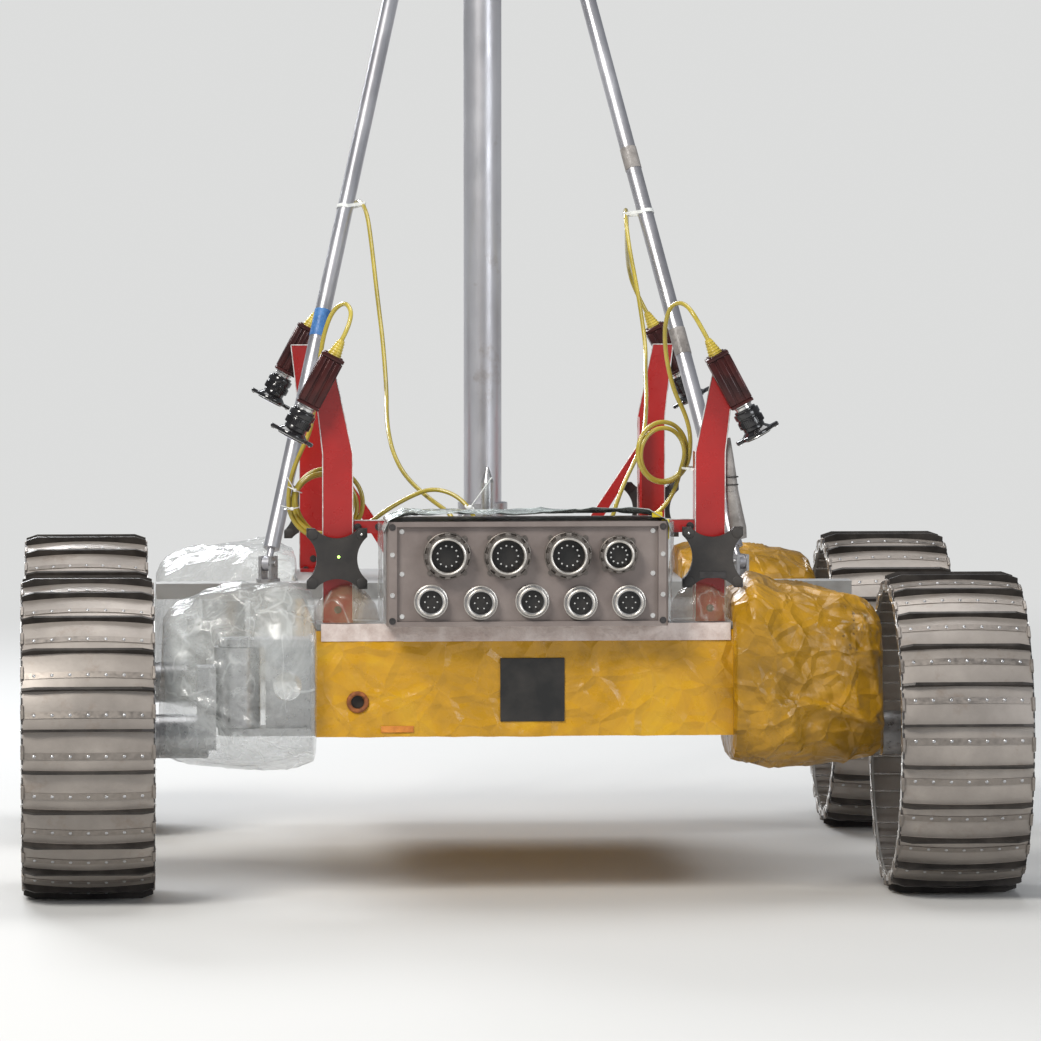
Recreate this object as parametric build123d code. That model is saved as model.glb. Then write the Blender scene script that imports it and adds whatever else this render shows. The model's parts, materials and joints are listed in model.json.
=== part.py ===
"""Four-wheeled planetary rover prototype, in millimetres.

The origin lies on the floor below the middle of the wheelbase. +Z is up, +X is the rover's
left-to-right width and -Y is the end that carries the connector box. Each wheel stands on its
own steered knuckle, and each corner is wrapped in a film cover split at its steering axis.
"""
from build123d import *
import os
from math import cos, pi, radians, sin, tan

os.makedirs("parts", exist_ok=True)

# Wheels
WHEEL_DIA = 500.0
WHEEL_WIDTH = 200.0
WHEELBASE = 970.0
GROUSER_COUNT = 24
GROUSER_HEIGHT = 8.0
GROUSER_THICKNESS = 4.0
GROUSER_END_DROP = 6.0
GROUSER_END_TAPER = 18.0
TREAD_CROWN = 7.0
RIM_WALL = 3.0
RIM_FLANGE = 12.0
HUB_RADIUS = 52.0
HUB_LENGTH = 76.0
HUB_CAP_RADIUS = 40.0
HUB_CAP_HEIGHT = 14.0
SPOKE_WIDTH = 34.0
SPOKE_THICKNESS = 4.0
SPOKE_RING = 5.0
SPOKE_OFFSET = 12.0
HUB_END_WALL = 6.0

# Steering knuckles
KINGPIN_INSET = 231.0
STEER_LIMIT = 50.0
KINGPIN_RADIUS = 20.0
RUNNING_GAP = 0.05
KNUCKLE_RADIUS = 36.0
MOTOR_RADIUS = 34.0
MOTOR_START = 45.0
MOTOR_END = 172.0
MOTOR_FLANGE = 14.0
MOTOR_FLANGE_RISE = 8.0
WEB_START = 33.0
WEB_END = 62.0
WEB_HALF_WIDTH = 26.0
WEB_BELOW_AXLE = 20.0
WEB_BELOW_TOP = 30.0
AXLE_RADIUS = 22.0

# Suspension arms, one I-beam at each corner with a fork for the kingpin
ARM_REACH = 120.0
FORK_LOW = 250.0
FORK_HIGH = 400.0
FORK_PLATE = 12.0
FORK_HALF_WIDTH = 30.0
FORK_GAP = 1.0
ARM_WEB = 12.0
ARM_WEB_GAP = 8.0
ARM_HOLE = 22.0
ARM_HOLE_SHIFT = 18.0
ARM_FOOT = 8.0
ARM_FOOT_RISE = 8.0
ARM_FOOT_HALF_WIDTH = 80.0

# Film covers over the corners
COVER_LOW = 205.0
COVER_HIGH = 470.0
COVER_RADIUS = 104.0
COVER_HALF_WIDTH = 150.0
COVER_STUB_HALF_WIDTH = 105.0
COVER_WHEEL_GAP = 6.0
COVER_JOINT_GAP = 5.0
COVER_FIT = 3.0
COVER_EDGE = 28.0
SOFT_GAP = 0.3
COVER_REACH = 40.0
FORK_SWEEP = 6.0
COVER_WELL = 52.0

# Body
BODY_WIDTH = 640.0
BODY_LENGTH = 1200.0
BODY_LOW = 258.0
BODY_HIGH = 420.0
BODY_EDGE = 6.0
DECK_THICKNESS = 10.0
PAD_HALF_WIDTH = 200.0
PAD_FRONT = -420.0
PAD_BACK = -100.0
PAD_HEIGHT = 3.0
PAD_CORNER = 15.0
GLAND_RADIUS = 9.0
GLAND_HEIGHT = 16.0
GLAND_Y = -488.0
PORT_RADIUS = 11.0
PORT_DEPTH = 14.0
PORT_X = -258.0
PORT_Z = 310.0

# Connector box at the front
BOX_DEPTH = 140.0
BOX_HEIGHT = 160.0
BOX_OVERHANG = 60.0
BOX_FLANGE = 15.0
BOX_RECESS = 12.0
BOX_EDGE = 3.0
PANEL_THICKNESS = 4.0

# Red posts
POST_INSET = 33.0
POST_END_INSET = 30.0
POST_WIDTH = 46.0
POST_SHEET = 4.0
POST_DEPTH = 44.0
POST_KNEE = 690.0
POST_TOP = 812.0
POST_LEAN = 26.0
POST_TOP_WIDTH = 34.0
POST_FOOT = 5.0
BAR_LENGTH = 49.0
BAR_HEIGHT = 20.0
BAR_THICKNESS = 5.0
BAR_Z = 577.0
STRUT_TOP = 640.0
STRUT_WIDTH = 26.0
STRUT_RUN = 114.0

# Camera heads
HEAD_TILT = 28.0
HEAD_BODY = 37.0
HEAD_BODY_LENGTH = 77.0
HEAD_FINS = 5
HEAD_FIN_GAP = 4.0
HEAD_FIN_DEPTH = 4.0
HEAD_OFFSET = 6.0
HEAD_NECK_RADIUS = 12.0
HEAD_NECK = 8.0
LENS_RADIUS = 19.0
LENS_LENGTH = 38.0
LENS_STEP = 2.5
FLANGE_RADIUS = 27.0
FLANGE_THICKNESS = 6.0
FLANGE_EAR = 9.0
FLANGE_EAR_WIDTH = 16.0
HEAD_TOP_Z = 842.0
RELIEF_LENGTH = 26.0
RELIEF_RADIUS = 11.0
RELIEF_TIP = 5.0

# Marker pods
POD_SIZE = 93.0
POD_THICKNESS = 16.0
POD_BITE = 44.0
POD_WAIST_HALF = 31.0
POD_Z = 530.0
POD_STAND = 10.0
POD_STAND_RADIUS = 12.0
POD_OFFSET = 2.0

# Mast with its foot, braces and cross beam
MAST_RADIUS = 32.0
MAST_Y = 560.0
MAST_TOP = 2000.0
SPIGOT_RADIUS = 29.0
SPIGOT_LENGTH = 70.0
FOOT_SIZE = 120.0
FOOT_PLATE = 10.0
FOOT_COLLAR = 42.0
FOOT_TOP = 545.0
COLLAR_Z = 1850.0
COLLAR_HEIGHT = 40.0
COLLAR_WALL = 9.0
LUG_THICKNESS = 8.0
LUG_MARGIN = 6.0
LUG_PAST_BRACE = 10.0
BRACE_STAND_OFF = 14.0
BRACE_RADIUS = 13.0
BRACE_FOOT_X = 380.0
BRACE_EYE = 12.0
BRACE_EYE_HALF = 6.0
BRACE_TAB = 5.5
BRACE_TAB_START = 7.0
BRACE_TAB_END = 40.0
BRACE_TUBE_START = 26.0
BRACE_PIN = 5.0
BRACE_GAP_BELOW = 14.5
BRACE_GAP_REACH = 40.0
BEAM_Y = -50.0
BEAM_HALF_LENGTH = 560.0
BEAM_DEPTH = 50.0
BEAM_HEIGHT = 25.0
BEAM_WALL = 3.0
CLEVIS_PIN_HEIGHT = 30.0
CLEVIS_EAR = 5.0
CLEVIS_WIDTH = 24.0
CLEVIS_GAP = 0.5
CLEVIS_BASE_RADIUS = 19.2
CLEVIS_BASE = 6.0
CLEVIS_ABOVE_PIN = 12.0
CLEVIS_PIN_HALF = 15.0
STUB_X = -50.0
STUB_Y = -450.0
STUB_RADIUS = 10.0
STUB_TOP = 662.0
STUB_POINT = 24.0
STUB_TIP = 2.0

# Receptacles: across, above the box's floor, radius of the ring, standing length
LARGE_RECEPTACLES = (
    (-123.0, 108.0, 36.0, 24.0),
    (-31.0, 108.0, 36.0, 24.0),
    (62.0, 108.0, 36.0, 24.0),
    (139.0, 109.0, 29.0, 22.0),
)
SMALL_RECEPTACLES = (
    (-148.0, 38.0, 26.0, 16.0),
    (-72.0, 36.0, 26.0, 16.0),
    (7.0, 38.0, 26.0, 16.0),
    (81.0, 35.0, 26.0, 16.0),
    (155.0, 36.0, 26.0, 16.0),
)
RECEPTACLE_BORE_SHARE = 0.68
RECEPTACLE_BODY_SHARE = 0.86
RECEPTACLE_FLANGE = 5.0
RECEPTACLE_BACK = 6.0

# Cords from the camera heads to their glands on the deck, each point chosen by hand
CORD_RADIUS = 3.5
CORD_FL_UPPER = (
    (-281, -590, 865.1), (-263, -590, 899), (-272, -556, 924), (-293, -530, 909), (-306, -524, 873),
    (-312, -522, 835), (-317, -522, 796), (-321, -522, 757), (-328, -519, 719), (-345, -516, 684),
    (-358, -511, 648), (-361, -508, 609),
)
CORD_FL_LOWER = (
    (-349, -505, 611), (-336, -496, 576), (-306, -486, 553), (-268, -480, 554), (-236, -472, 576),
    (-206, -460, 597), (-173, -448, 615), (-137, -440, 629), (-102, -454, 621), (-77, -473, 598),
    (-63, -484, 563), (-57, -487, 525), (-55, -488, 485), (-55, -488, 446),
)
CORD_FR_UPPER = (
    (281, -590, 865.1), (263, -590, 899), (247, -564, 921), (229, -535, 917), (221, -516, 886),
    (222, -508, 850), (228, -504, 814), (238, -502, 778), (255, -499, 745), (264, -490, 711),
    (267, -482, 675),
)
CORD_FR_LOWER = (
    (258, -484, 655), (239, -490, 627), (221, -497, 599), (193, -495, 581), (180, -491, 549),
    (172, -489, 515), (170, -488, 481), (170, -488, 446),
)
CORD_RL = (
    (-281, 590, 865.1), (-259, 590, 906), (-250, 563, 941), (-248, 514, 967), (-245, 450, 996),
    (-241, 383, 1021), (-234, 316, 1044), (-222, 249, 1065), (-211, 185, 1047), (-206, 135, 999),
    (-202, 88, 946), (-198, 40, 895), (-194, -12, 847), (-192, -64, 798), (-192, -121, 758), (-195, -187, 731),
    (-195, -252, 705), (-190, -316, 675), (-175, -378, 644), (-144, -434, 615), (-99, -477, 585),
    (-86, -488, 517), (-86, -488, 446),
)
CORD_RR = (
    (281, 590, 865.1), (259, 590, 906), (248, 564, 940), (242, 513, 963), (236, 450, 990),
    (231, 384, 1014), (226, 319, 1036), (219, 255, 1050), (215, 196, 1028), (218, 146, 980),
    (226, 104, 925), (231, 64, 876), (234, 22, 830), (229, -39, 796), (225, -103, 767), (220, -168, 741),
    (213, -232, 715), (203, -297, 689), (186, -360, 663), (163, -417, 629), (142, -461, 579),
    (125, -488, 516), (125, -488, 446),
)

# Coils of the two front cords: centre, middle radius, bundle radius, turn about Z
COIL_FL = ((-304.0, -508.0, 609.0), 52.0, 11.0, 0.0)
COIL_FR = ((220.0, -508.0, 687.0), 46.0, 9.0, 30.0)

# How far a cutting body runs past a face
CUT = 10.0

# Corners: name, side along X, side along Y
CORNERS = (("fl", -1, -1), ("fr", 1, -1), ("rl", -1, 1), ("rr", 1, 1))

# Sizes that follow from the ones above
wheel_radius = WHEEL_DIA / 2
half_pitch = pi / GROUSER_COUNT
axle_z = wheel_radius * cos(half_pitch) + GROUSER_THICKNESS / 2 * sin(half_pitch)
axle_y = WHEELBASE / 2
body_x = BODY_WIDTH / 2
body_y = BODY_LENGTH / 2
kingpin_x = body_x + ARM_REACH
post_x = body_x - POST_INSET
post_y = body_y - POST_END_INSET
post_inner = post_x - POST_WIDTH / 2
box_x = post_inner - BAR_LENGTH
deck_z = BODY_HIGH + DECK_THICKNESS
tread_radius = wheel_radius - GROUSER_HEIGHT
edge_radius = tread_radius - TREAD_CROWN
rim_inner = edge_radius - RIM_WALL
inner_face = KINGPIN_INSET - WHEEL_WIDTH / 2
cover_end = inner_face - COVER_WHEEL_GAP


def block(x0, x1, y0, y1, z0, z1):
    """A box between two corners."""
    return Pos((x0 + x1) / 2, (y0 + y1) / 2, (z0 + z1) / 2) * Box(x1 - x0, y1 - y0, z1 - z0)


def rod(start, end, radius):
    """A cylinder from one point to another."""
    start = Vector(*start)
    run = Vector(*end) - start
    return Plane(origin=start, z_dir=run) * Cylinder(
        radius, run.length, align=(Align.CENTER, Align.CENTER, Align.MIN))


def disc_x(x0, x1, radius, z=axle_z):
    """A cylinder along X at the axle's height."""
    return rod((x0, 0, z), (x1, 0, z), radius)


def save(name, shape):
    """Write one node and report its size."""
    export_step(shape, f"parts/{name}.step")
    box = shape.bounding_box()
    print(f"{name:20s} solids {len(shape.solids())}  volume {shape.volume / 1000:10.1f} cm3"
          f"  x {box.min.X:8.1f} {box.max.X:8.1f}  y {box.min.Y:8.1f} {box.max.Y:8.1f}"
          f"  z {box.min.Z:8.1f} {box.max.Z:8.1f}")


def place_corner(shape, side_x, side_y):
    """Move a corner piece, modelled about its kingpin for the right side, to its corner."""
    if side_x < 0:
        shape = mirror(shape, about=Plane.YZ)
    return Pos(side_x * kingpin_x, side_y * axle_y, 0) * shape


# Wheel: a crowned drum with grousers, and a hub with flat spokes
def wheel_drum():
    half = WHEEL_WIDTH / 2
    centre = KINGPIN_INSET
    crown = ThreePointArc((-half, edge_radius), (0, tread_radius), (half, edge_radius))
    lines = (crown
             + Line((half, edge_radius), (half, rim_inner - RIM_FLANGE))
             + Line((half, rim_inner - RIM_FLANGE), (half - RIM_WALL, rim_inner - RIM_FLANGE))
             + Line((half - RIM_WALL, rim_inner - RIM_FLANGE), (half - RIM_WALL, rim_inner))
             + Line((half - RIM_WALL, rim_inner), (RIM_WALL - half, rim_inner))
             + Line((RIM_WALL - half, rim_inner), (RIM_WALL - half, rim_inner - RIM_FLANGE))
             + Line((RIM_WALL - half, rim_inner - RIM_FLANGE), (-half, rim_inner - RIM_FLANGE))
             + Line((-half, rim_inner - RIM_FLANGE), (-half, edge_radius)))
    drum = revolve(make_face(lines), axis=Axis.X)
    top = wheel_radius
    low = edge_radius - RIM_WALL / 2
    outline = Polyline((-half, low), (-half, top - GROUSER_END_DROP),
                       (GROUSER_END_TAPER - half, top), (half - GROUSER_END_TAPER, top),
                       (half, top - GROUSER_END_DROP), (half, low), close=True)
    bar = extrude(make_face(outline), GROUSER_THICKNESS / 2, both=True)
    bars = [Rot(360 / GROUSER_COUNT * (n + 0.5), 0, 0) * bar for n in range(GROUSER_COUNT)]
    return Pos(centre, 0, axle_z) * drum.fuse(*bars)


def wheel_hub():
    mid = KINGPIN_INSET + SPOKE_OFFSET
    hub = disc_x(mid - HUB_LENGTH / 2, mid + HUB_LENGTH / 2, HUB_RADIUS)
    cap_start = mid + HUB_LENGTH / 2
    cap = Plane(origin=(cap_start, 0, axle_z), z_dir=(1, 0, 0)) * Cone(
        HUB_RADIUS, HUB_CAP_RADIUS, HUB_CAP_HEIGHT, align=(Align.CENTER, Align.CENTER, Align.MIN))
    ring = disc_x(mid - SPOKE_WIDTH / 2, mid + SPOKE_WIDTH / 2, rim_inner)
    ring = ring - disc_x(mid - SPOKE_WIDTH, mid + SPOKE_WIDTH, rim_inner - SPOKE_RING)
    spokes = []
    for n in range(GROUSER_COUNT):
        spoke = block(mid - SPOKE_WIDTH / 2, mid + SPOKE_WIDTH / 2,
                      -SPOKE_THICKNESS / 2, SPOKE_THICKNESS / 2,
                      HUB_RADIUS - SPOKE_RING, rim_inner - SPOKE_RING / 2)
        spokes.append(Pos(0, 0, axle_z) * Rot(360 / GROUSER_COUNT * n, 0, 0) * spoke)
    hub = hub.fuse(cap, ring, *spokes)
    bore = disc_x(mid - HUB_LENGTH, cap_start - HUB_END_WALL, AXLE_RADIUS + RUNNING_GAP)
    return hub - bore


# Steering knuckle with its kingpin, motor and axle
def knuckle():
    low = FORK_LOW + FORK_PLATE + FORK_GAP
    high = FORK_HIGH - FORK_PLATE - FORK_GAP
    post = rod((0, 0, low), (0, 0, high), KNUCKLE_RADIUS)
    pin = rod((0, 0, FORK_LOW - FORK_GAP), (0, 0, FORK_HIGH + FORK_GAP), KINGPIN_RADIUS)
    motor = disc_x(MOTOR_START, MOTOR_END, MOTOR_RADIUS)
    flange = disc_x(MOTOR_END - MOTOR_FLANGE, MOTOR_END, MOTOR_RADIUS + MOTOR_FLANGE_RISE)
    web = block(WEB_START, WEB_END, -WEB_HALF_WIDTH, WEB_HALF_WIDTH,
                axle_z - WEB_BELOW_AXLE, high - WEB_BELOW_TOP)
    axle_end = KINGPIN_INSET + SPOKE_OFFSET + HUB_LENGTH / 2 - HUB_END_WALL - FORK_GAP
    axle = disc_x(MOTOR_END, axle_end, AXLE_RADIUS)
    return post.fuse(pin, motor, flange, web, axle)


# Suspension arm: a foot on the body's side, an I-beam and the fork's two eyes
def arm():
    shape = block(-ARM_REACH, ARM_FOOT - ARM_REACH, -ARM_FOOT_HALF_WIDTH, ARM_FOOT_HALF_WIDTH,
                  FORK_LOW + ARM_FOOT_RISE, FORK_HIGH)
    pieces = []
    for z in (FORK_LOW, FORK_HIGH - FORK_PLATE):
        pieces.append(block(-ARM_REACH, 0, -FORK_HALF_WIDTH, FORK_HALF_WIDTH, z, z + FORK_PLATE))
        pieces.append(rod((0, 0, z), (0, 0, z + FORK_PLATE), FORK_HALF_WIDTH))
    pieces.append(block(-ARM_REACH, -KNUCKLE_RADIUS - ARM_WEB_GAP, -ARM_WEB / 2, ARM_WEB / 2,
                        FORK_LOW, FORK_HIGH))
    shape = shape.fuse(*pieces)
    pin_hole = rod((0, 0, FORK_LOW - CUT), (0, 0, FORK_HIGH + CUT), KINGPIN_RADIUS + RUNNING_GAP)
    middle = (FORK_LOW + FORK_HIGH) / 2
    hole_x = -ARM_REACH / 2 - ARM_HOLE_SHIFT
    web_hole = rod((hole_x, -ARM_WEB, middle), (hole_x, ARM_WEB, middle), ARM_HOLE)
    return shape - pin_hole - web_hole


# Covers: the inner one stays with the body, the outer one turns with the knuckle
def inner_cover():
    shape = block(SOFT_GAP - ARM_REACH, -COVER_REACH, -COVER_HALF_WIDTH, COVER_HALF_WIDTH,
                  COVER_LOW, COVER_HIGH)
    edges = shape.edges().filter_by(Axis.X)
    shape = chamfer(edges, COVER_EDGE)
    clear = COVER_STUB_HALF_WIDTH + COVER_JOINT_GAP
    shape = shape - rod((0, 0, COVER_LOW - CUT), (0, 0, COVER_HIGH + CUT), clear + SOFT_GAP)
    wedge = block(0, COVER_HALF_WIDTH + CUT, -clear, clear, COVER_LOW - CUT, COVER_HIGH + CUT)
    for angle in (-STEER_LIMIT, STEER_LIMIT):
        shape = shape - Rot(0, 0, angle) * wedge
    tunnel = block(-ARM_REACH, 0, -FORK_HALF_WIDTH - COVER_FIT, FORK_HALF_WIDTH + COVER_FIT,
                   FORK_LOW - COVER_FIT, FORK_HIGH + COVER_FIT)
    foot = block(-ARM_REACH, ARM_FOOT - ARM_REACH + COVER_FIT,
                 -ARM_FOOT_HALF_WIDTH - COVER_FIT, ARM_FOOT_HALF_WIDTH + COVER_FIT,
                 FORK_LOW - COVER_FIT, FORK_HIGH + COVER_FIT)
    return shape - tunnel - foot


def outer_cover():
    shape = rod((0, 0, COVER_LOW), (0, 0, COVER_HIGH), COVER_RADIUS)
    stub = block(0, cover_end, -COVER_STUB_HALF_WIDTH, COVER_STUB_HALF_WIDTH, COVER_LOW, COVER_HIGH)
    stub = chamfer(stub.edges().filter_by(Axis.X), COVER_EDGE)
    shape = shape.fuse(stub)
    low = FORK_LOW - COVER_JOINT_GAP
    high = FORK_HIGH + COVER_JOINT_GAP
    reach = COVER_RADIUS + CUT
    slot = block(-reach, FORK_SWEEP, -reach, reach, low, high)
    well = rod((0, 0, low), (0, 0, high), COVER_WELL)
    web = block(0, WEB_END + COVER_FIT, -WEB_HALF_WIDTH - COVER_FIT, WEB_HALF_WIDTH + COVER_FIT,
                low, high)
    drive = disc_x(0, cover_end + CUT, MOTOR_RADIUS + SOFT_GAP)
    return shape - slot - well - web - drive


# Body, deck and the box with its panel of receptacles
def chassis_tub():
    shape = block(-body_x, body_x, -body_y, body_y, BODY_LOW, BODY_HIGH)
    shape = chamfer(shape.edges().filter_by(Axis.Z) + shape.edges().filter_by(Axis.X).group_by(Axis.Z)[0],
                    BODY_EDGE)
    port = rod((PORT_X, -body_y - CUT, PORT_Z), (PORT_X, PORT_DEPTH - body_y, PORT_Z), PORT_RADIUS)
    return shape - port


def deck_plate():
    shape = block(-body_x, body_x, -body_y, body_y, BODY_HIGH, deck_z)
    pad = block(-PAD_HALF_WIDTH, PAD_HALF_WIDTH, PAD_FRONT, PAD_BACK, BODY_HIGH, deck_z + PAD_HEIGHT)
    pad = fillet(pad.edges().filter_by(Axis.Z), PAD_CORNER)
    glands = []
    for route in (CORD_FL_LOWER, CORD_FR_LOWER, CORD_RL, CORD_RR):
        x = route[-1][0]
        glands.append(rod((x, GLAND_Y, BODY_HIGH), (x, GLAND_Y, deck_z + GLAND_HEIGHT), GLAND_RADIUS))
    return shape.fuse(pad, *glands)


box_front = -body_y - BOX_OVERHANG
box_back = box_front + BOX_DEPTH
box_low = deck_z
box_high = deck_z + BOX_HEIGHT
panel_back = box_front + BOX_RECESS
panel_front = panel_back - PANEL_THICKNESS


def connector_box():
    shape = block(-box_x, box_x, box_front, box_back, box_low, box_high)
    shape = chamfer(shape.edges().filter_by(Axis.Z), BOX_EDGE)
    recess = block(-box_x + BOX_FLANGE, box_x - BOX_FLANGE, box_front - CUT, panel_back,
                   box_low + BOX_FLANGE / 2, box_high - BOX_FLANGE / 2)
    return shape - recess


def receptacles(table):
    rings = []
    for across, above, radius, length in table:
        z = box_low + above
        bore = radius * RECEPTACLE_BORE_SHARE
        shape = rod((across, panel_front, z), (across, panel_front - RECEPTACLE_FLANGE, z), radius)
        shape = shape.fuse(rod((across, panel_front, z), (across, panel_front - length, z),
                               radius * RECEPTACLE_BODY_SHARE))
        floor = panel_front - RECEPTACLE_BACK
        shape = shape - rod((across, floor, z), (across, panel_front - length - CUT, z), bore)
        rings.append(shape)
    return Compound(children=rings)


def connector_panel():
    gap = SOFT_GAP
    return block(-box_x + BOX_FLANGE + gap, box_x - BOX_FLANGE - gap, panel_front, panel_back,
                 box_low + BOX_FLANGE / 2 + gap, box_high - BOX_FLANGE / 2 - gap)


# Posts of bent sheet, their bars and struts
def post(side_x, side_y):
    inner = post_inner
    outer = post_inner + POST_WIDTH
    top_inner = inner + POST_LEAN
    outline = Polyline((inner, deck_z), (outer, deck_z), (outer, POST_KNEE),
                       (top_inner + POST_TOP_WIDTH, POST_TOP), (top_inner, POST_TOP),
                       (inner, POST_KNEE), close=True)
    face = Rot(90, 0, 0) * make_face(outline)
    front = -POST_SHEET / 2
    plate = extrude(face, POST_SHEET / 2, both=True)
    flange = block(inner, inner + POST_SHEET, front, POST_DEPTH, deck_z, POST_KNEE)
    foot = block(inner, outer, front, POST_DEPTH, deck_z, deck_z + POST_FOOT)
    shape = plate.fuse(flange, foot)
    if side_y > 0:
        shape = mirror(shape, about=Plane.XZ)
    if side_x < 0:
        shape = mirror(shape, about=Plane.YZ)
    return Pos(0, side_y * post_y, 0) * shape


def front_crossbars():
    bars = []
    y = -post_y + POST_SHEET / 2
    for side in (-1, 1):
        ends = sorted((side * box_x, side * post_inner))
        bars.append(block(ends[0], ends[1], y, y + BAR_THICKNESS,
                          BAR_Z - BAR_HEIGHT / 2, BAR_Z + BAR_HEIGHT / 2))
    return Compound(children=bars)


def rear_struts():
    struts = []
    y = post_y - POST_SHEET / 2
    foot = post_inner - STRUT_RUN
    for side in (-1, 1):
        outline = Polyline((post_inner, STRUT_TOP), (post_inner, STRUT_TOP - STRUT_WIDTH),
                           (foot, deck_z), (foot - STRUT_WIDTH, deck_z), close=True)
        bar = extrude(Rot(90, 0, 0) * make_face(outline), BAR_THICKNESS)
        bar = Pos(0, y, 0) * bar
        struts.append(bar if side > 0 else mirror(bar, about=Plane.YZ))
    return Compound(children=struts)


# Camera head, modelled pointing down at the origin and then tilted at the post's top
def camera_head(side_x, side_y):
    half = HEAD_BODY / 2
    shape = block(-half, half, -half, half, -HEAD_BODY_LENGTH, 0)
    pitch = HEAD_BODY_LENGTH / (HEAD_FINS + 1)
    cuts = []
    for n in range(HEAD_FINS):
        z = -pitch * (n + 1)
        low = z - HEAD_FIN_GAP / 2
        high = z + HEAD_FIN_GAP / 2
        core = half - HEAD_FIN_DEPTH
        ring = block(-HEAD_BODY, HEAD_BODY, -HEAD_BODY, HEAD_BODY, low, high)
        ring = ring - block(-core, core, -core, core, low - CUT, high + CUT)
        cuts.append(ring)
    shape = shape.cut(*cuts)
    z = -HEAD_BODY_LENGTH
    steps = [rod((0, 0, z), (0, 0, z - HEAD_NECK), HEAD_NECK_RADIUS)]
    z -= HEAD_NECK
    for n, radius in enumerate((LENS_RADIUS, LENS_RADIUS + LENS_STEP, LENS_RADIUS)):
        step = LENS_LENGTH / 3
        steps.append(rod((0, 0, z), (0, 0, z - step), radius))
        z -= step
    steps.append(rod((0, 0, z), (0, 0, z - FLANGE_THICKNESS), FLANGE_RADIUS))
    reach = FLANGE_RADIUS + FLANGE_EAR
    ear = block(-reach, reach, -FLANGE_EAR_WIDTH / 2, FLANGE_EAR_WIDTH / 2, z - FLANGE_THICKNESS, z)
    relief = Cone(RELIEF_RADIUS, RELIEF_TIP, RELIEF_LENGTH,
                  align=(Align.CENTER, Align.CENTER, Align.MIN))
    shape = shape.fuse(*steps, ear, relief)
    shape = Rot(0, -HEAD_TILT, 0) * shape
    y = POST_SHEET / 2 + half
    shape = Pos(post_x + HEAD_OFFSET, -y, HEAD_TOP_Z) * shape
    if side_x < 0:
        shape = mirror(shape, about=Plane.YZ)
    if side_y > 0:
        shape = mirror(shape, about=Plane.XZ)
    return Pos(0, side_y * post_y, 0) * shape


# Marker pod: a square with concave sides, on a short stand in front of its post
def marker_pod(side_x, side_y):
    pod = Box(POD_SIZE, POD_THICKNESS, POD_SIZE)
    away = POD_WAIST_HALF + POD_BITE
    for dx, dz in ((1, 0), (-1, 0), (0, 1), (0, -1)):
        centre = Vector(dx * away, 0, dz * away)
        cut = rod((centre.X, -POD_THICKNESS, centre.Z), (centre.X, POD_THICKNESS, centre.Z), POD_BITE)
        pod = pod - cut
    stand = rod((0, POD_THICKNESS / 2, 0), (0, POD_THICKNESS / 2 + POD_STAND, 0), POD_STAND_RADIUS)
    pod = pod.fuse(stand)
    y = POST_SHEET / 2 + POD_STAND + POD_THICKNESS / 2
    pod = Pos(side_x * (post_x + POD_OFFSET), -y, POD_Z) * pod
    if side_y > 0:
        pod = mirror(pod, about=Plane.XZ)
    return Pos(0, side_y * post_y, 0) * pod


# Mast and what holds it
def mast():
    shoulder = MAST_TOP - SPIGOT_LENGTH
    tube = rod((0, MAST_Y, deck_z + FOOT_PLATE), (0, MAST_Y, shoulder), MAST_RADIUS)
    return tube.fuse(rod((0, MAST_Y, shoulder), (0, MAST_Y, MAST_TOP), SPIGOT_RADIUS))


def mast_foot():
    half = FOOT_SIZE / 2
    plate = block(-half, half, MAST_Y - half, body_y, deck_z, deck_z + FOOT_PLATE)
    collar = rod((0, MAST_Y, deck_z + FOOT_PLATE), (0, MAST_Y, FOOT_TOP), FOOT_COLLAR)
    bore = rod((0, MAST_Y, deck_z + FOOT_PLATE), (0, MAST_Y, FOOT_TOP + CUT), MAST_RADIUS)
    return plate.fuse(collar) - bore


collar_radius = MAST_RADIUS + COLLAR_WALL
brace_top = (collar_radius + BRACE_STAND_OFF, MAST_Y, COLLAR_Z)
clevis_z = deck_z + BEAM_HEIGHT
brace_foot = (BRACE_FOOT_X, BEAM_Y, clevis_z + CLEVIS_PIN_HEIGHT)


def mast_collar():
    low = COLLAR_Z - COLLAR_HEIGHT / 2
    high = COLLAR_Z + COLLAR_HEIGHT / 2
    shape = rod((0, MAST_Y, low), (0, MAST_Y, high), collar_radius)
    for side in (-1, 1):
        ends = sorted((0.0, side * (brace_top[0] + LUG_PAST_BRACE)))
        shape = shape.fuse(block(ends[0], ends[1], MAST_Y - LUG_THICKNESS / 2,
                                 MAST_Y + LUG_THICKNESS / 2, low + LUG_MARGIN, high - LUG_MARGIN))
    return shape - rod((0, MAST_Y, low - CUT), (0, MAST_Y, high + CUT), MAST_RADIUS)


brace_run = (Vector(*brace_top) - Vector(*brace_foot)).normalized()
pin_axis = Vector(-brace_run.Y, brace_run.X, 0).normalized()


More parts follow.
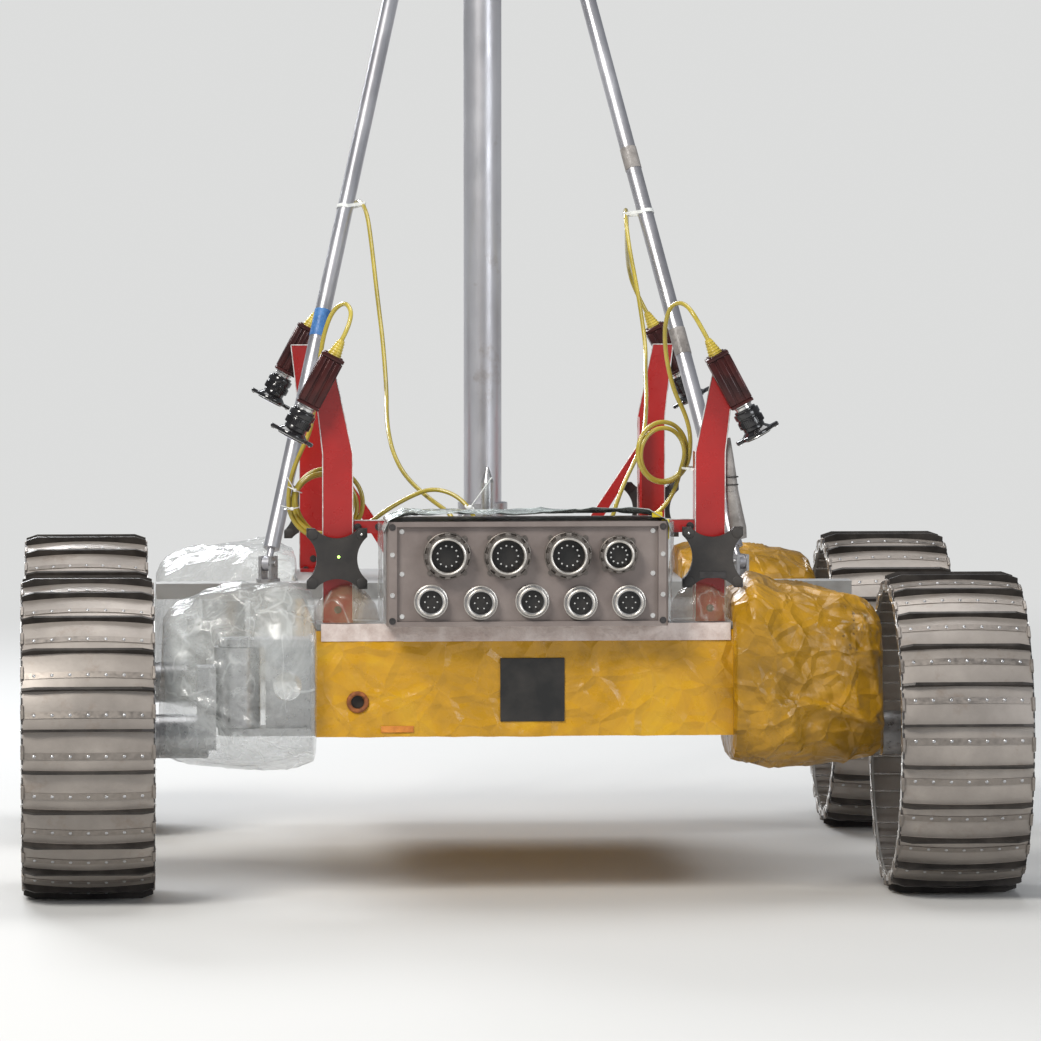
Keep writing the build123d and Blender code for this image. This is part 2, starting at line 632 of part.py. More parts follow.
def brace(side):
    foot = Vector(*brace_foot)
    top = Vector(*brace_top)
    tube = rod(tuple(foot + brace_run * BRACE_TUBE_START), tuple(top), BRACE_RADIUS)
    low_tab = rod(tuple(foot + brace_run * BRACE_TAB_START), tuple(foot + brace_run * BRACE_TAB_END),
                  BRACE_TAB)
    half = pin_axis * BRACE_EYE_HALF
    eye = rod(tuple(foot - half), tuple(foot + half), BRACE_EYE)
    pin_hole = rod(tuple(foot - half * 2), tuple(foot + half * 2), BRACE_PIN + RUNNING_GAP)
    gap = block(top.X - BRACE_GAP_REACH, top.X + BRACE_GAP_REACH, top.Y - LUG_THICKNESS / 2,
                top.Y + LUG_THICKNESS / 2, top.Z - BRACE_GAP_BELOW, top.Z + BRACE_GAP_REACH)
    shape = tube.fuse(low_tab).fuse(eye) - pin_hole - gap
    return shape if side > 0 else mirror(shape, about=Plane.YZ)


def brace_clevises():
    foot = Vector(*brace_foot)
    half = CLEVIS_WIDTH / 2
    base = rod((foot.X, foot.Y, clevis_z), (foot.X, foot.Y, clevis_z + CLEVIS_BASE),
               CLEVIS_BASE_RADIUS)
    pin = pin_axis * CLEVIS_PIN_HALF
    pieces = [rod(tuple(foot - pin), tuple(foot + pin), BRACE_PIN)]
    turn = Plane(origin=(foot.X, foot.Y, clevis_z), x_dir=(brace_run.X, brace_run.Y, 0),
                 z_dir=(0, 0, 1))
    inside = BRACE_EYE_HALF + CLEVIS_GAP
    for y in (-inside - CLEVIS_EAR, inside):
        pieces.append(turn * block(-half, half, y, y + CLEVIS_EAR, 0,
                                   CLEVIS_PIN_HEIGHT + CLEVIS_ABOVE_PIN))
    right = base.fuse(*pieces)
    return Compound(children=[right, mirror(right, about=Plane.YZ)])


def cross_beam():
    shape = block(-BEAM_HALF_LENGTH, BEAM_HALF_LENGTH, BEAM_Y - BEAM_DEPTH / 2,
                  BEAM_Y + BEAM_DEPTH / 2, deck_z, clevis_z)
    hollow = block(-BEAM_HALF_LENGTH - CUT, BEAM_HALF_LENGTH + CUT,
                   BEAM_Y - BEAM_DEPTH / 2 + BEAM_WALL, BEAM_Y + BEAM_DEPTH / 2 - BEAM_WALL,
                   deck_z + BEAM_WALL, clevis_z - BEAM_WALL)
    return shape - hollow


def stub_post():
    rise = rod((STUB_X, STUB_Y, deck_z), (STUB_X, STUB_Y, STUB_TOP - STUB_POINT), STUB_RADIUS)
    tip = Pos(STUB_X, STUB_Y, STUB_TOP - STUB_POINT) * Cone(
        STUB_RADIUS, STUB_TIP, STUB_POINT, align=(Align.CENTER, Align.CENTER, Align.MIN))
    return rise.fuse(tip)


# Cords: straight runs joined by arcs as large as the runs allow
def cord_tube(name, points):
    places = [Vector(*point) for point in points]
    radii = []
    for before, point, after in zip(places, places[1:], places[2:]):
        first = point - before
        second = after - point
        turn = radians(first.get_angle(second))
        radii.append(0.45 * min(first.length, second.length) / tan(turn / 2))
    path = FilletPolyline(*points, radius=radii)
    start = Plane(origin=places[0], z_dir=places[1] - places[0])
    tube = sweep(start * Circle(CORD_RADIUS), path=path)
    share = tube.volume / (pi * CORD_RADIUS ** 2 * path.length)
    print(name, "radii", " ".join(f"{radius:.0f}" for radius in radii),
          f"length {path.length:.0f} volume over section times length {share:.4f}")
    return tube


def coil(centre, middle, bundle, turn):
    return Pos(*centre) * Rot(0, 0, turn) * Rot(90, 0, 0) * Torus(middle, bundle)


# Build every node
corner_pieces = {
    "wheel_drum": wheel_drum(),
    "wheel_hub": wheel_hub(),
    "knuckle": knuckle(),
    "arm": arm(),
    "inner_cover": inner_cover(),
    "outer_cover": outer_cover(),
}
for corner, side_x, side_y in CORNERS:
    for name, shape in corner_pieces.items():
        save(f"{name}_{corner}", place_corner(shape, side_x, side_y))
    save(f"post_{corner}", post(side_x, side_y))
    save(f"camera_head_{corner}", camera_head(side_x, side_y))
    save(f"marker_pod_{corner}", marker_pod(side_x, side_y))

save("chassis_tub", chassis_tub())
save("deck_plate", deck_plate())
save("connector_box", connector_box())
save("connector_panel", connector_panel())
save("large_receptacles", receptacles(LARGE_RECEPTACLES))
save("small_receptacles", receptacles(SMALL_RECEPTACLES))
save("front_crossbars", front_crossbars())
save("rear_struts", rear_struts())
save("mast", mast())
save("mast_foot", mast_foot())
save("mast_collar", mast_collar())
save("brace_left", brace(-1))
save("brace_right", brace(1))
save("brace_clevises", brace_clevises())
save("cross_beam", cross_beam())
save("stub_post", stub_post())

coils = {"fl": coil(*COIL_FL), "fr": coil(*COIL_FR)}
fronts = (("fl", CORD_FL_UPPER, CORD_FL_LOWER), ("fr", CORD_FR_UPPER, CORD_FR_LOWER))
for corner, upper, lower in fronts:
    save(f"cord_coil_{corner}", coils[corner])
    save(f"cord_upper_{corner}", cord_tube(f"upper {corner}", upper) - coils[corner])
    save(f"cord_lower_{corner}", cord_tube(f"lower {corner}", lower) - coils[corner])
save("cord_rl", cord_tube("cord rl", CORD_RL))
save("cord_rr", cord_tube("cord rr", CORD_RR))
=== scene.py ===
"""Looks for a planetary rover prototype: finishes, films, cords and small parts on its frame."""
import json
import math

import bpy
from bpy.props import FloatProperty, FloatVectorProperty, IntProperty, PointerProperty
from mathutils import Matrix, Vector, noise


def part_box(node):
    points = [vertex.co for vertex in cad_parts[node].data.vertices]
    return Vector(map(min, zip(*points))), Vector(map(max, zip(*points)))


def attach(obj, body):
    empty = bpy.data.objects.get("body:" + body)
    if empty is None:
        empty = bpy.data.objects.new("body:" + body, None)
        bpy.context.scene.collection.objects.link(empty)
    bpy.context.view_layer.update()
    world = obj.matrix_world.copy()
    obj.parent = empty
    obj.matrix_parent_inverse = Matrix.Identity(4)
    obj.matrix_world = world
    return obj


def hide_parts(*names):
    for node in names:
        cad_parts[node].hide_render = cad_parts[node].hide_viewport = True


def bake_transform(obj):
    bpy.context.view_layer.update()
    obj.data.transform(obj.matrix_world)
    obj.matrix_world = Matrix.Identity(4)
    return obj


bl_info = {
    "name": "Planetary rover prototype",
    "version": (1, 0, 0),
    "blender": (4, 5, 0),
    "location": "View3D > Sidebar > Rover",
    "description": "Films, cords, rivets, finishes and stage for a four-wheeled rover prototype",
    "category": "Object",
}

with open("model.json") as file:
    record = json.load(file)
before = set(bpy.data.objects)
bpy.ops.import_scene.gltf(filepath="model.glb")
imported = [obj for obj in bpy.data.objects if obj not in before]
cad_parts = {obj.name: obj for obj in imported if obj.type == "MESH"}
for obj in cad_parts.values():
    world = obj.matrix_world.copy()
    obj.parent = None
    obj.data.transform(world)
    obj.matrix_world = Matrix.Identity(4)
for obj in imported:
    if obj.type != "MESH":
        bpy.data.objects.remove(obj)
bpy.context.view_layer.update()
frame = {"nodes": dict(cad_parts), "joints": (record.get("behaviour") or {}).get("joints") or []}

# Places read from the frame
CORNERS = (("fl", -1, -1), ("fr", 1, -1), ("rl", -1, 1), ("rr", 1, 1))
JOINTS = {joint["name"]: joint for joint in frame["joints"]}
BODY_LOW, BODY_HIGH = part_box("chassis_tub")
BOX_LOW, BOX_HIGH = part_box("connector_box")
DECK_Z = BOX_LOW.z


def kingpin(corner):
    return Vector(JOINTS[f"steering_{corner}"]["pos_m"])


def axle(corner):
    return Vector(JOINTS[f"wheel_spin_{corner}"]["pos_m"])


# Selecting and finishing
def named(item, name):
    item.name = name
    item.data.name = name
    return item


def select_only(*objects):
    if bpy.context.object and bpy.context.object.mode != "OBJECT":
        bpy.ops.object.mode_set(mode="OBJECT")
    bpy.ops.object.select_all(action="DESELECT")
    for item in objects:
        item.select_set(True)
    bpy.context.view_layer.objects.active = objects[0]


def settle(item):
    """Put the object's place, turn and size into its mesh."""
    select_only(item)
    bpy.ops.object.transform_apply(location=True, rotation=True, scale=True)
    return item


def apply_modifier(item, kind, **values):
    select_only(item)
    modifier = item.modifiers.new(kind.title(), kind)
    for key, value in values.items():
        setattr(modifier, key, value)
    bpy.ops.object.modifier_apply(modifier=modifier.name)
    return item


def join(name, pieces):
    select_only(*pieces)
    if len(pieces) > 1:
        bpy.ops.object.join()
    return named(bpy.context.object, name)


def smooth(item, degrees=35):
    select_only(item)
    bpy.ops.object.shade_smooth_by_angle(angle=math.radians(degrees))
    return item


def outward(item):
    """Merge a closed shape's doubles and turn its faces outwards."""
    select_only(item)
    bpy.ops.object.mode_set(mode="EDIT")
    bpy.ops.mesh.select_all(action="SELECT")
    bpy.ops.mesh.remove_doubles(threshold=0.00001)
    bpy.ops.mesh.normals_make_consistent(inside=False)
    bpy.ops.object.mode_set(mode="OBJECT")
    return item


def copy_of(item, matrix):
    twin = item.copy()
    twin.data = item.data.copy()
    bpy.context.scene.collection.objects.link(twin)
    twin.data.transform(matrix)
    return twin


def finish(item, body, slot, material, *replaced):
    item.data.materials.clear()
    item.data.materials.append(material)
    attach(item, body)
    if replaced:
        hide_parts(*replaced)
    return item


def add_fixed(name, parts, slot, surface, degrees=35):
    """Join parts into one finished piece that rides on the body."""
    item = join(name, parts)
    if degrees:
        smooth(item, degrees)
    return finish(item, "root", slot, finish_named(surface))


def paint_node(name, material):
    node = frame["nodes"][name]
    node.data.materials.clear()
    node.data.materials.append(material)


# Primitives at their size and place
def add_box(low, high, bevel=0.0, segments=2):
    low, high = Vector(low), Vector(high)
    bpy.ops.object.select_all(action="DESELECT")
    bpy.ops.mesh.primitive_cube_add(size=1, location=(low + high) / 2)
    item = bpy.context.object
    item.scale = high - low
    settle(item)
    if bevel:
        apply_modifier(item, "BEVEL", width=bevel, segments=segments)
    return item


def add_rod(start, end, radius, vertices=24, tip=None, bevel=0.0):
    start, end = Vector(start), Vector(end)
    run = end - start
    bpy.ops.object.select_all(action="DESELECT")
    turn = Vector((0, 0, 1)).rotation_difference(run).to_euler()
    bpy.ops.mesh.primitive_cone_add(vertices=vertices, radius1=radius,
                                    radius2=radius if tip is None else tip,
                                    depth=run.length, location=(start + end) / 2, rotation=turn)
    item = settle(bpy.context.object)
    if bevel:
        apply_modifier(item, "BEVEL", width=bevel, segments=2, limit_method="ANGLE")
    return item


def add_ring(centre, axis, radius, thickness, major=48, minor=10):
    bpy.ops.object.select_all(action="DESELECT")
    turn = Vector((0, 0, 1)).rotation_difference(Vector(axis)).to_euler()
    bpy.ops.mesh.primitive_torus_add(major_radius=radius, minor_radius=thickness,
                                     major_segments=major, minor_segments=minor,
                                     location=centre, rotation=turn)
    return settle(bpy.context.object)


def add_ball(centre, radius, segments=12, rings=8):
    bpy.ops.object.select_all(action="DESELECT")
    bpy.ops.mesh.primitive_uv_sphere_add(radius=radius, segments=segments, ring_count=rings,
                                         location=centre)
    return settle(bpy.context.object)


def turned(item, centre, count, axis="X"):
    """Copies of a piece in a full circle about an axis through a point."""
    twins = [item]
    for n in range(1, count):
        turn = Matrix.Rotation(math.tau * n / count, 4, axis)
        twins.append(copy_of(item, Matrix.Translation(centre) @ turn @ Matrix.Translation(-centre)))
    return twins


# What a user would change
class RoverFinishes(bpy.types.PropertyGroup):
    amber: FloatVectorProperty(
        name="Amber film", description="Colour of the film on the body and the right corners",
        subtype="COLOR", size=3, min=0.0, max=1.0, default=(0.56, 0.285, 0.008))
    clear: FloatVectorProperty(
        name="Clear film", description="Colour of the hazy film on the left corners",
        subtype="COLOR", size=3, min=0.0, max=1.0, default=(0.66, 0.69, 0.68))
    red: FloatVectorProperty(
        name="Red paint", description="Colour of the posts, bars and struts",
        subtype="COLOR", size=3, min=0.0, max=1.0, default=(0.36, 0.010, 0.009))
    tread: FloatVectorProperty(
        name="Tread skin", description="Colour of the wheels' dusty skin",
        subtype="COLOR", size=3, min=0.0, max=1.0, default=(0.33, 0.295, 0.265))
    grouser: FloatVectorProperty(
        name="Grouser", description="Colour of the dark bars on the tread",
        subtype="COLOR", size=3, min=0.0, max=1.0, default=(0.020, 0.017, 0.015))
    cord: FloatVectorProperty(
        name="Cord jacket", description="Colour of the camera cords",
        subtype="COLOR", size=3, min=0.0, max=1.0, default=(0.46, 0.36, 0.045))


class RoverSizes(bpy.types.PropertyGroup):
    fold: FloatProperty(
        name="Film fold", description="How far the corner films' folds stand up",
        default=0.009, min=0.0, max=0.02, unit="LENGTH")
    film: FloatProperty(
        name="Film thickness", description="Thickness of every film and foil",
        default=0.0008, min=0.0002, max=0.003, unit="LENGTH")
    rivets: IntProperty(
        name="Rivets", description="Rivets on the foot of each grouser", default=7, min=3, max=15)
    cord: FloatProperty(
        name="Cord diameter", description="Diameter of the camera cords",
        default=0.007, min=0.003, max=0.012, unit="LENGTH")


def finishes():
    return bpy.context.scene.rover_finishes


def sizes():
    return bpy.context.scene.rover_sizes


def shade(color, factor):
    return tuple(min(1.0, channel * factor) for channel in color)


# Materials, each read from Object coordinates
# Soot on the front right film: its middle, how far it reaches and its colour
SOOT_PLACE, SOOT_REACH = Vector((.505, -.60, .425)), Vector((.026, .06, .050))
SOOT_COLOR = (0.012, 0.008, 0.006)
HAZE_COLOR = (0.40, 0.30, 0.18)
# Near-white colour of the hazy film's crease lines: painted highlights
CREASE_HIGHLIGHT = (0.90, 0.93, 0.93)
WORN_RED = (0.46, 0.20, 0.17)
TREAD_STAIN = (0.22, 0.165, 0.125)
TREAD_INSIDE = (0.36, 0.35, 0.34)
SHARP = 9.0


class Surface:
    """A material while it is put together."""

    def __init__(self, name, color, roughness, metallic=0.0, **sockets):
        self.material = bpy.data.materials.new(name)
        self.material.use_nodes = True
        self.tree = self.material.node_tree
        self.shader = self.tree.nodes["Principled BSDF"]
        self.shader.inputs["Base Color"].default_value = (*color, 1.0)
        self.shader.inputs["Roughness"].default_value = roughness
        self.shader.inputs["Metallic"].default_value = metallic
        for socket, value in sockets.items():
            self.shader.inputs[socket.replace("_", " ")].default_value = value

    def add(self, kind, **values):
        item = self.tree.nodes.new(kind)
        for key, value in values.items():
            setattr(item, key, value)
        return item

    def feed(self, socket, value):
        if isinstance(value, bpy.types.NodeSocket):
            self.tree.links.new(value, socket)
        elif isinstance(value, (tuple, list, Vector)) and len(value) == 3 and socket.type == "RGBA":
            socket.default_value = (*value, 1.0)
        else:
            socket.default_value = value

    def place(self, scale=(1, 1, 1), turn=(0, 0, 0), move=(0, 0, 0)):
        source = self.add("ShaderNodeTexCoord")
        mapping = self.add("ShaderNodeMapping")
        mapping.inputs["Scale"].default_value = scale
        mapping.inputs["Rotation"].default_value = turn
        mapping.inputs["Location"].default_value = move
        self.tree.links.new(source.outputs["Object"], mapping.inputs["Vector"])
        return mapping.outputs["Vector"]

    def noise(self, place, scale, detail=4.0, roughness=0.55, distortion=0.0):
        item = self.add("ShaderNodeTexNoise")
        for name, value in (("Vector", place), ("Scale", scale), ("Detail", detail),
                            ("Roughness", roughness), ("Distortion", distortion)):
            self.feed(item.inputs[name], value)
        return item.outputs["Fac"]

    def cells(self, place, scale, feature="DISTANCE_TO_EDGE"):
        item = self.add("ShaderNodeTexVoronoi", feature=feature)
        self.feed(item.inputs["Vector"], place)
        self.feed(item.inputs["Scale"], scale)
        return item.outputs["Distance"]

    def math(self, operation, first, second=0.0):
        item = self.add("ShaderNodeMath", operation=operation)
        self.feed(item.inputs[0], first)
        self.feed(item.inputs[1], second)
        return item.outputs["Value"]

    def ridge(self, place, scale, detail=3.0, distortion=0.6):
        """High along the lines where a noise crosses its middle, as a crease is."""
        middle = self.math("SUBTRACT", self.noise(place, scale, detail, 0.5, distortion), 0.5)
        fall = self.math("MULTIPLY", self.math("ABSOLUTE", middle), SHARP)
        return self.math("SUBTRACT", 1.0, fall)

    def creases(self, place, scale, width=0.10):
        """High along straight lines between flat facets, as crumpled film has."""
        away = self.math("DIVIDE", self.cells(place, scale), width)
        return self.math("MAXIMUM", self.math("SUBTRACT", 1.0, away), 0.0)

    def warp(self, place, scale, detail, reach):
        """A place pushed aside a little by a noise."""
        item = self.add("ShaderNodeVectorMath", operation="MULTIPLY_ADD")
        self.feed(item.inputs[0], self.noise(place, scale, detail))
        self.feed(item.inputs[1], (reach, reach, reach))
        self.feed(item.inputs[2], place)
        return item.outputs["Vector"]

    def length(self, place):
        item = self.add("ShaderNodeVectorMath", operation="LENGTH")
        self.feed(item.inputs[0], place)
        return item.outputs["Value"]

    def ramp(self, factor, *stops):
        item = self.add("ShaderNodeValToRGB")
        elements = item.color_ramp.elements
        while len(elements) < len(stops):
            elements.new(0.5)
        for element, (position, color) in zip(elements, stops):
            element.position = position
            element.color = (*(color if isinstance(color, tuple) else (color,) * 3), 1.0)
        self.feed(item.inputs["Fac"], factor)
        return item.outputs["Color"]

    def mix(self, factor, first, second):
        item = self.add("ShaderNodeMix", data_type="RGBA")
        self.feed(item.inputs["Factor"], factor)
        self.feed(item.inputs[6], first)
        self.feed(item.inputs[7], second)
        return item.outputs[2]

    def set(self, name, value):
        self.feed(self.shader.inputs[name], value)

    def bump(self, height, depth, strength=1.0):
        item = self.add("ShaderNodeBump")
        item.inputs["Strength"].default_value = strength
        item.inputs["Distance"].default_value = depth
        self.feed(item.inputs["Height"], height)
        self.feed(self.shader.inputs["Normal"], item.outputs["Normal"])


def tinted_film(name, dark, middle, light, roughness, lines):
    """Coloured film: cloudy colour, straight creases and a soft sheen."""
    film = Surface(name, middle, roughness, Coat_Weight=0.14, Coat_Roughness=0.16)
    place = film.place()
    cloud = film.noise(place, 7.0, 6.0, 0.6, 0.8)
    film.set("Base Color", film.ramp(cloud, (0.30, dark), (0.52, middle), (0.74, light)))
    film.set("Roughness", film.ramp(film.noise(place, 26.0), (0.35, roughness * 0.7),
                                    (0.7, roughness * 1.5)))
    bent = film.warp(place, 5.0, 2.0, 0.06)
    height = film.math("ADD", film.creases(bent, lines, 0.16),
                       film.creases(bent, lines * 2.7, 0.20))
    height = film.math("ADD", height, film.math("MULTIPLY", film.noise(place, 60.0, 5.0), 0.6))
    film.bump(height, 0.0030, 0.9)
    return film


def amber_film():
    amber = tuple(finishes().amber)
    return tinted_film("amber film", shade(amber, 0.66), amber, (0.68, 0.40, 0.014), 0.30,
                       7.0).material


def brown_film():
    """The right corners' film: the amber darkened as painted shade, with a patch of soot on the
    front one.
    """
    amber = tuple(finishes().amber)
    # Dark, middle and light tones are the amber darkened: painted shade
    film = tinted_film("brown film", shade(amber, 0.36), shade(amber, 0.72), shade(amber, 1.05),
                       0.34, 9.0)
    clean = film.shader.inputs["Base Color"].links[0].from_socket
    patch = film.length(film.place(scale=tuple(1 / reach for reach in SOOT_REACH),
                                   move=tuple(-a / b for a, b in zip(SOOT_PLACE, SOOT_REACH))))
    inside = film.ramp(patch, (0.55, 1.0), (1.0, 0.0))
    marks = film.ramp(film.noise(film.place(scale=(1.0, 1.0, 0.6)), 105.0, 7.0, 0.72),
                      (0.575, 0.0), (0.60, 0.9))
    film.set("Base Color", film.mix(film.math("MULTIPLY", inside, marks), clean, SOOT_COLOR))
    return film.material


def clear_film():
    return hazy_film("clear film", tuple(finishes().clear))


def brown_haze():
    return hazy_film("brown haze", HAZE_COLOR)


def hazy_film(name, color):
    """Film that can be seen through, with pale creases painted as highlights and a cloudy veil."""
    film = Surface(name, color, 0.12, Coat_Weight=0.5, Coat_Roughness=0.05)
    place = film.place()
    bent = film.warp(place, 8.0, 3.0, 0.03)
    some = film.ramp(film.noise(place, 9.0, 3.0), (0.46, 0.0), (0.70, 0.9))
    lines = film.math("MULTIPLY", some, film.creases(bent, 11.0, 0.030))
    fine = film.ridge(film.place(scale=(1.0, 1.0, 0.5)), 15.0, 3.0, 0.3)
    lines = film.math("MAXIMUM", lines, film.ramp(fine, (0.80, 0.0), (1.0, 0.30)))
    haze = film.noise(place, 5.0, 7.0, 0.68, 0.9)
    cloud = film.ramp(haze, (0.30, shade(color, 0.62)), (0.70, shade(color, 1.05)))
    # Crease lines in near-white: painted highlights
    film.set("Base Color", film.mix(lines, cloud, CREASE_HIGHLIGHT))
    veil = film.math("ADD", film.ramp(haze, (0.34, 0.18), (0.68, 0.56)),
                     film.math("MULTIPLY", lines, 0.35))
    film.set("Alpha", film.math("MINIMUM", veil, 0.95))
    film.set("Roughness", film.ramp(haze, (0.35, 0.08), (0.7, 0.26)))
    film.bump(film.math("ADD", film.math("MULTIPLY", lines, 0.5),
                        film.noise(place, 34.0, 6.0, 0.62)), 0.0035, 0.8)
    return film.material


def silver_foil():
    foil = Surface("silver foil", (0.62, 0.66, 0.64), 0.26, 0.75)
    place = foil.place()
    foil.set("Base Color", foil.ramp(foil.noise(place, 9.0, 5.0), (0.3, (0.40, 0.44, 0.43)),
                                     (0.55, (0.66, 0.73, 0.70)), (0.75, (0.86, 0.90, 0.88))))
    foil.set("Roughness", foil.ramp(foil.noise(place, 20.0), (0.35, 0.18), (0.7, 0.42)))
    foil.bump(foil.math("ADD", foil.creases(place, 26.0, 0.12), foil.noise(place, 50.0, 4.0)),
              0.001, 0.5)
    return foil.material


def red_paint():
    red = tuple(finishes().red)
    paint = Surface("red paint", red, 0.26, Coat_Weight=0.4, Coat_Roughness=0.10)
    place = paint.place()
    body = paint.ramp(paint.noise(place, 4.0, 5.0), (0.3, shade(red, 0.72)),
                      (0.7, shade(red, 1.25)))
    scratch = paint.noise(paint.place(scale=(14.0, 14.0, 1.2)), 9.0, 8.0, 0.7)
    worn = paint.ramp(scratch, (0.70, 0.0), (0.76, 1.0))
    paint.set("Base Color", paint.mix(worn, body, WORN_RED))
    paint.set("Roughness", paint.ramp(paint.noise(place, 22.0), (0.35, 0.18), (0.7, 0.42)))
    paint.bump(paint.noise(place, 140.0, 3.0), 0.0003, 0.4)
    return paint.material


def mottled(name, color, roughness, cloud, tones, grain, metallic=0.0, **sockets):
    """A cloudy colour over a fine grain.

    cloud holds the noise's scale and detail, and grain those with a depth and a strength."""
    surface = Surface(name, color, roughness, metallic, **sockets)
    place = surface.place()
    surface.set("Base Color", surface.ramp(surface.noise(place, *cloud), *tones))
    scale, detail, depth, strength = grain
    surface.bump(surface.noise(place, scale, detail), depth, strength)
    return surface.material


# Pale colour of the thin lines along the red parts' edges: painted highlight where light rims them
def bare_edge():
    return mottled("bare edge", (0.72, 0.70, 0.67), 0.38, (60.0, 4.0),
                   ((0.35, (0.50, 0.44, 0.42)), (0.6, (0.80, 0.79, 0.77))),
                   (160.0, 4.0, 0.0003, 0.5), 0.35)


def metal(name, color, roughness, grain=(1.0, 1.0, 1.0), dust=(0.42, 0.40, 0.37), dusty=0.35):
    """Bare metal with a grain along its drawing direction and some dust."""
    bare = Surface(name, color, roughness, 0.85)
    place = bare.place()
    lines = bare.noise(bare.place(scale=grain), 40.0, 6.0, 0.6)
    tone = bare.ramp(lines, (0.3, shade(color, 0.78)), (0.7, shade(color, 1.15)))
    veil = bare.ramp(bare.noise(place, 5.0, 6.0, 0.6), (0.45, 0.0), (0.80, dusty))
    bare.set("Base Color", bare.mix(veil, tone, dust))
    bare.set("Roughness", bare.ramp(lines, (0.3, roughness * 0.8),
                                    (0.7, min(1.0, roughness * 1.4))))
    bare.bump(lines, 0.0004, 0.35)
    return bare.material


def deck_metal():
    return metal("deck metal", (0.37, 0.373, 0.37), 0.60, (1.0, 9.0, 1.0),
                 (0.32, 0.285, 0.245), 0.6)


def tube_metal():
    """Satin drawn tube, a little stained, with faint lines along it."""
    tube = Surface("tube metal", (0.60, 0.60, 0.63), 0.36, 0.9)
    place = tube.place()
    cloud = tube.noise(tube.place(scale=(2.0, 2.0, 1.0)), 3.0, 6.0, 0.6)
    tone = tube.ramp(cloud, (0.32, (0.47, 0.46, 0.48)), (0.6, (0.63, 0.63, 0.66)))
    stains = tube.ramp(tube.noise(place, 11.0, 7.0, 0.65), (0.60, 0.0), (0.70, 0.55))
    tube.set("Base Color", tube.mix(stains, tone, (0.34, 0.29, 0.26)))
    tube.set("Roughness", tube.ramp(tube.noise(place, 14.0, 5.0), (0.35, 0.30), (0.7, 0.46)))
    tube.bump(tube.noise(tube.place(scale=(12.0, 12.0, 0.4)), 30.0, 3.0), 0.00008, 0.25)
    return tube.material


def machined_metal():
    return metal("machined metal", (0.50, 0.50, 0.51), 0.30, (3.0, 3.0, 3.0))


def spoke_metal():
    return metal("spoke metal", (0.66, 0.66, 0.66), 0.34, (2.0, 8.0, 8.0),
                 (0.42, 0.39, 0.35), 0.4)


def tread_foot():
    """The grousers' riveted feet, as dusty as the skin under them."""
    foot_color = shade(tuple(finishes().tread), 0.88)
    return metal("tread foot", foot_color, 0.42, (3.0, 3.0, 3.0), (0.30, 0.27, 0.24), 0.5)


def bright_metal():
    return metal("bright metal", (0.80, 0.79, 0.77), 0.20, (2.0, 2.0, 2.0), dusty=0.1)


def dark_metal():
    return metal("dark metal", (0.085, 0.080, 0.080), 0.36, (2.0, 2.0, 2.0),
                 (0.17, 0.15, 0.14))


def collar_metal():
    """The large receptacles' collars, in the warm grey of the box."""
    return metal("collar metal", (0.20, 0.178, 0.162), 0.40, (2.0, 2.0, 2.0),
                 (0.27, 0.245, 0.22))


def pale_ring():
    return metal("pale ring", (0.60, 0.57, 0.53), 0.34, (2.0, 2.0, 2.0),
                 (0.40, 0.37, 0.34))


def box_sheet():
    sheet = Surface("box sheet", (0.25, 0.21, 0.195), 0.45, 0.25)
    place = sheet.place()
    tone = sheet.ramp(sheet.noise(place, 9.0, 6.0, 0.6), (0.3, (0.185, 0.150, 0.138)),
                      (0.7, (0.30, 0.255, 0.235)))
    scuffs = sheet.ramp(sheet.noise(sheet.place(scale=(1.0, 1.0, 6.0)), 26.0, 8.0, 0.7),
                        (0.66, 0.0), (0.74, 0.7))
    sheet.set("Base Color", sheet.mix(scuffs, tone, (0.44, 0.40, 0.37)))
    sheet.bump(sheet.noise(place, 120.0), 0.0003, 0.5)
    return sheet.material


def black_plate():
    return mottled("black plate", (0.014, 0.013, 0.013), 0.42, (24.0, 6.0),
                   ((0.4, (0.010, 0.010, 0.010)), (0.8, (0.035, 0.031, 0.028))),
                   (90.0, 4.0, 0.0003, 0.4))


def moulded_black():
    return mottled("moulded black", (0.022, 0.021, 0.021), 0.55, (14.0, 6.0),
                   ((0.35, (0.016, 0.015, 0.015)), (0.75, (0.055, 0.048, 0.043))),
                   (260.0, 2.0, 0.0004, 0.5))


def dark_red_housing():
    return mottled("dark red housing", (0.050, 0.011, 0.010), 0.26, (30.0, 5.0),
                   ((0.35, (0.030, 0.008, 0.008)), (0.7, (0.075, 0.016, 0.014))),
                   (300.0, 2.0, 0.0002, 0.5), 0.3)


def black_gloss():
    gloss = Surface("black gloss", (0.012, 0.011, 0.012), 0.16, Coat_Weight=0.6,
                    Coat_Roughness=0.06)
    place = gloss.place()
    gloss.set("Roughness", gloss.ramp(gloss.noise(place, 60.0, 5.0), (0.4, 0.10), (0.75, 0.34)))
    gloss.bump(gloss.noise(place, 220.0, 2.0), 0.0002, 0.3)
    return gloss.material


def lens_glass():
    # The faint emission is a painted glow: the lens is no lamp
    glass = Surface("lens glass", (0.50, 0.46, 0.74), 0.06, 0.4, Coat_Weight=1.0,
                    Coat_Roughness=0.02, Emission_Color=(0.72, 0.66, 1.0, 1.0),
                    Emission_Strength=0.18)
    place = glass.place()
    glass.set("Base Color", glass.ramp(glass.noise(place, 70.0, 2.0), (0.4, (0.34, 0.28, 0.62)),
                                       (0.65, (0.78, 0.76, 0.92))))
    return glass.material


def relief_rubber():
    return mottled("relief rubber", (0.58, 0.44, 0.05), 0.36, (50.0, 4.0),
                   ((0.3, (0.40, 0.29, 0.03)), (0.7, (0.66, 0.52, 0.08))),
                   (300.0, 4.0, 0.0003, 0.4))


